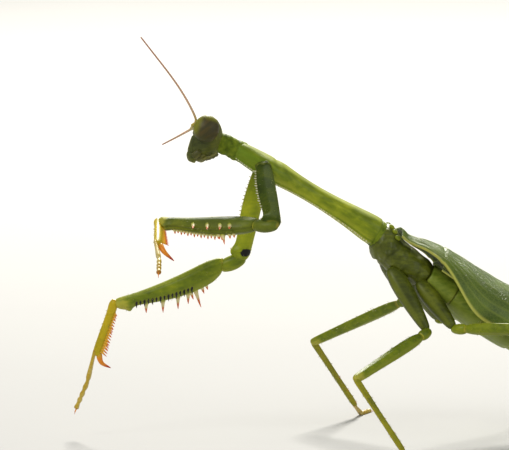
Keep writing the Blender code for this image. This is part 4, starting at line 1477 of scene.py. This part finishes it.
def make_shin(tag, knee, wrist, belly, outer):
    """Tibia, with a comb of spines along each edge of its underside, and its long hooked claw."""
    name, node = f"fore_tibia_shell_{tag}", f"fore_tibia_{tag}"
    segment(name, node, knee, wrist, belly, FORE_TIBIA, FORELEG, SHIN_SHELL)
    whole = (knee, wrist, belly, FORE_TIBIA)
    comb = spine_pairs(*whole, TIBIAL_OUTER, outer, SHIN_ROW)
    comb += spine_pairs(*whole, TIBIAL_INNER, -outer, SHIN_ROW)
    thorns(f"tibia_comb_{tag}", comb, 0.19, AMBER_SPINES, FORELEG, wrist - knee)
    along, half = (wrist - knee).normalized(), TIBIAL_CLAW[tag] * 0.5
    base = wrist - along * 0.35 + belly * 0.25
    bend = base + (along * 0.9 + belly * 0.6) * half
    tip = bend + (along * 0.25 + belly * 1.1) * half
    line, reach = path_line([base, bend, tip])
    rows = []
    for share, radius in ((0.0, 0.42), (0.25, 0.37), (0.5, 0.28), (0.75, 0.18), (0.92, 0.1), (1.0, 0.03)):
        rows.append((reach * share, radius, radius * 1.1, radius * 1.1))
    shell(f"tibia_claw_{tag}", rows, line, FORELEG, CLAW, sides=12)


def make_foreleg(tag):
    """One raptorial leg, from its socket to the tips of its claws."""
    root, hip, knee, wrist, toe = (Vector(p) for p in FORE_JOINTS[tag])
    outwards = 1 if tag == "l" else -1
    thigh, shin = knee - hip, wrist - knee
    twist = Matrix.Rotation(-radians(TIBIA_TWIST[tag]), 3, shin)
    thigh_belly, shin_belly = underside(thigh, shin), twist @ underside(shin, -thigh)
    coxa_front = underside(hip - root, Vector((0, -1, 0.2)))
    outer = thigh.normalized().cross(thigh_belly) * outwards
    shin_outer = shin.normalized().cross(shin_belly) * outwards
    # the near (left) foreleg takes darker copies of its plates and socket skin, painted shade, and the far
    # (right) coxa a lighter one, painted backlight glow
    coxa_shell, leg_shell, inner_spines, folds = {
        "l": (SHADED_COXA, SHADED_LEG, PALE_SPINES, SHADED_MEMBRANE),
        "r": (BACKLIT_COXA_SHELL, LEG_SHELL, DARK_SPINES, MEMBRANE),
    }[tag]
    make_coxa(tag, root, hip, coxa_front, coxa_shell, folds)
    make_thigh(tag, hip, knee, thigh_belly, outer, leg_shell, inner_spines)
    make_shin(tag, knee, wrist, shin_belly, shin_outer)
    heel = wrist - shin_outer * 0.1 - shin_belly * 0.3
    middle = (heel + toe) / 2 + shin_belly * 0.35
    foot(f"fore_tarsus_shell_{tag}", f"fore_tarsus_{tag}", heel, middle, toe, thigh_belly)
    hairs(f"femur_hairs_{tag}", hip, knee, thigh_belly, FORE_FEMUR, 110, 0.3, FORELEG, seed=11)
    hairs(f"coxa_hairs_{tag}", root, hip, -coxa_front, FORE_COXA, 90, 0.25, FORELEG, seed=12)
    hairs(f"tibia_hairs_{tag}", knee, wrist, shin_belly, FORE_TIBIA, 60, 0.3, FORELEG, seed=13)


def foot(name, node, heel, middle, toe, belly):
    """Five joints, each swelling to a pad, with a pair of hooked claws."""
    waist, pad = FOOT_RADII
    length = (middle - heel).length + (toe - middle).length
    rows = [ring(-0.6, waist * 0.7), ring(-0.4, waist)]
    for a, b in zip(TARSOMERES, TARSOMERES[1:]):
        narrow = ((a + 0.015, waist * 0.9), (a + 0.4 * (b - a), waist))
        swollen = ((b - 0.05, pad), (b - 0.01, pad * 0.9))
        for share, radius in narrow + swollen:
            rows.append(ring(share * length, radius))
    turn = (middle - heel).length

    def line(distance):
        ease = smooth((distance - turn + 0.4) / 0.8)
        first, second = (middle - heel).normalized(), (toe - middle).normalized()
        axis = first.lerp(second, ease).normalized()
        place = heel + first * distance if distance < turn else middle + second * (distance - turn)
        return place, axis, -underside(axis, belly)

    piece = shell(name, rows, line, "foot", FOOT_SHELL, node, sides=12, levels=1)
    for vertex in piece.data.vertices:
        vertex.co.z = max(vertex.co.z, 0.0)  # nothing sinks into the floor
    axis = (toe - middle).normalized()
    side = axis.cross(belly).normalized()
    up = side.cross(axis)
    pairs = [(toe - axis * 0.2 + up * 0.05, toe + axis * 0.6 + side * 0.45 * s + up * 0.06) for s in (1, -1)]
    thorns(f"claws_of_{node}", pairs, 0.09, CLAW, "foot", up)


def walking_relief(co, share):
    """Flatter towards its upper and lower edges."""
    x, y, z = co
    return Vector((x * (1 - 0.25 * smooth((abs(y) - 0.25) / 0.4)), y, z))


def make_walking_leg(kind, tag):
    """One plain leg, with short hairs and small spurs."""
    root, hip, knee, ankle, toe = (Vector(p) for p in WALKING_JOINTS[kind, tag])
    belly, shin_belly = underside(knee - hip, ankle - knee), underside(ankle - knee, hip - knee)
    coxa_belly = underside(hip - root, Vector((0, 1, -1)))
    slot = "walking_leg_cuticle"
    lengths = (
        ("coxa", root, hip, coxa_belly, WALK_COXA, FLANK_SHELL, None),
        ("trochanter", hip, knee, belly, WALK_TROCHANTER, LEG_SHELL, None),
        ("femur", hip, knee, belly, WALK_FEMUR, LEG_SHELL, walking_relief),
        ("tibia", knee, ankle, shin_belly, WALK_TIBIA, STILT_SHELL, None),
    )
    for part, start, end, under, rows, finish, relief in lengths:
        name, node = f"{kind}_{part}_shell_{tag}", f"{kind}_{part}_{tag}"
        segment(name, node, start, end, under, rows, slot, finish, relief=relief)
    seed = {"mid": 20, "hind": 30}[kind] + (0 if tag == "l" else 5)
    hairs(f"{kind}_femur_hairs_{tag}", hip, knee, belly, WALK_FEMUR, 110, 0.3, slot, seed)
    hairs(f"{kind}_tibia_hairs_{tag}", knee, ankle, shin_belly, WALK_TIBIA, 110, 0.3, slot, seed + 1)
    along = (ankle - knee).normalized()
    spurs = []
    for share in (0.55, 0.75, 0.95):
        for way in (1, -1):
            base = knee.lerp(ankle, share) + shin_belly * 0.25
            out = along.cross(shin_belly) * way
            spurs.append((base, base + (shin_belly * 0.5 + out * 0.4 + along * 0.8) * 0.5))
    thorns(f"{kind}_tibia_spurs_{tag}", spurs, 0.08, PALE_SPINES, slot, ankle - knee)
    rest = FOOT_RADII[1] * 0.72
    level = Vector((toe.x - ankle.x, toe.y - ankle.y, 0))
    heel = ankle + level.normalized() * 0.25 - Vector((0, 0, 0.35))
    middle = Vector((ankle.x, ankle.y, 0)) + level * TARSOMERES[1] + Vector((0, 0, rest))
    sole = Vector((toe.x, toe.y, rest))
    foot(f"{kind}_tarsus_shell_{tag}", f"{kind}_tarsus_{tag}", heel, middle, sole, DOWN)


make_head()
make_face()
make_ocelli()
make_eyes()
make_palps()
make_antennae()
make_neck()
make_pronotum()
make_thorax()
make_abdomen()
make_cerci()
make_wings()
for leg_side in ("l", "r"):
    make_foreleg(leg_side)
    make_walking_leg("mid", leg_side)
    make_walking_leg("hind", leg_side)
remove(THORN)
remove(HAIR)


# ---- floor, light and camera, in metres and watts ----
LIT_SPOT = Vector((0.0, 0.0, 0.028))
CAMERA_AIM = Vector((0.0, -0.068, 29.82))  # in the plans
CAMERA_TURN = (80.7, 7.5)  # degrees round from the front, and up
CAMERA_DISTANCE = 1.5
FRAME_WIDTH = 0.0687  # how much it takes in from side to side, at that distance
SENSOR_WIDTH = 36.0  # millimetres


def make_floor():
    """A plain ground for the animal to stand on, which is no part of it."""
    floor = added("studio_floor", bpy.ops.mesh.primitive_plane_add, size=12.0)
    floor.data.materials.append(floor_finish())


def soft_lamp(name, place, size, power, colour):
    """A round lamp, in metres and watts, that shines on the middle of the animal."""
    light = bpy.data.lights.new(name, "AREA")
    light.shape, light.size, light.energy, light.color = "DISK", size, power, colour
    lamp = bpy.data.objects.new(name, light)
    bpy.context.scene.collection.objects.link(lamp)
    lamp.location = place
    lamp.rotation_euler = (LIT_SPOT - Vector(place)).to_track_quat("-Z", "Y").to_euler()
    lamp.visible_camera = False


def make_lights():
    world = bpy.data.worlds.new("studio_air")
    world.use_nodes = True
    air = world.node_tree.nodes["Background"]
    air.inputs["Color"].default_value = (0.82, 0.82, 0.78, 1.0)
    air.inputs["Strength"].default_value = 0.37
    bpy.context.scene.world = world
    bpy.context.scene.view_settings.view_transform = "Standard"
    soft_lamp("key_light", (0.35, -0.45, 0.5), 0.3, 1.9, (1.0, 0.98, 0.94))
    soft_lamp("back_light", (-0.5, 0.1, 0.42), 0.2, 6.0, (1.0, 0.97, 0.9))
    soft_lamp("fill_light", (0.5, 0.5, 0.3), 0.5, 0.9, (0.94, 0.97, 1.0))


def make_camera():
    """Looks at the left side from a little ahead and above, with the head and forelegs in view."""
    azimuth, elevation = (radians(turn) for turn in CAMERA_TURN)
    away = Vector((sin(azimuth) * cos(elevation), -cos(azimuth) * cos(elevation), sin(elevation)))
    data = bpy.data.cameras.new("camera")
    data.sensor_width = SENSOR_WIDTH
    data.lens = SENSOR_WIDTH * CAMERA_DISTANCE / FRAME_WIDTH
    data.clip_end = 50.0
    camera = bpy.data.objects.new("camera", data)
    bpy.context.scene.collection.objects.link(camera)
    camera.location = TO_MODEL @ CAMERA_AIM + away * CAMERA_DISTANCE
    camera.rotation_euler = (-away).to_track_quat("-Z", "Y").to_euler()
    bpy.context.scene.camera = camera


make_floor()
make_lights()
make_camera()
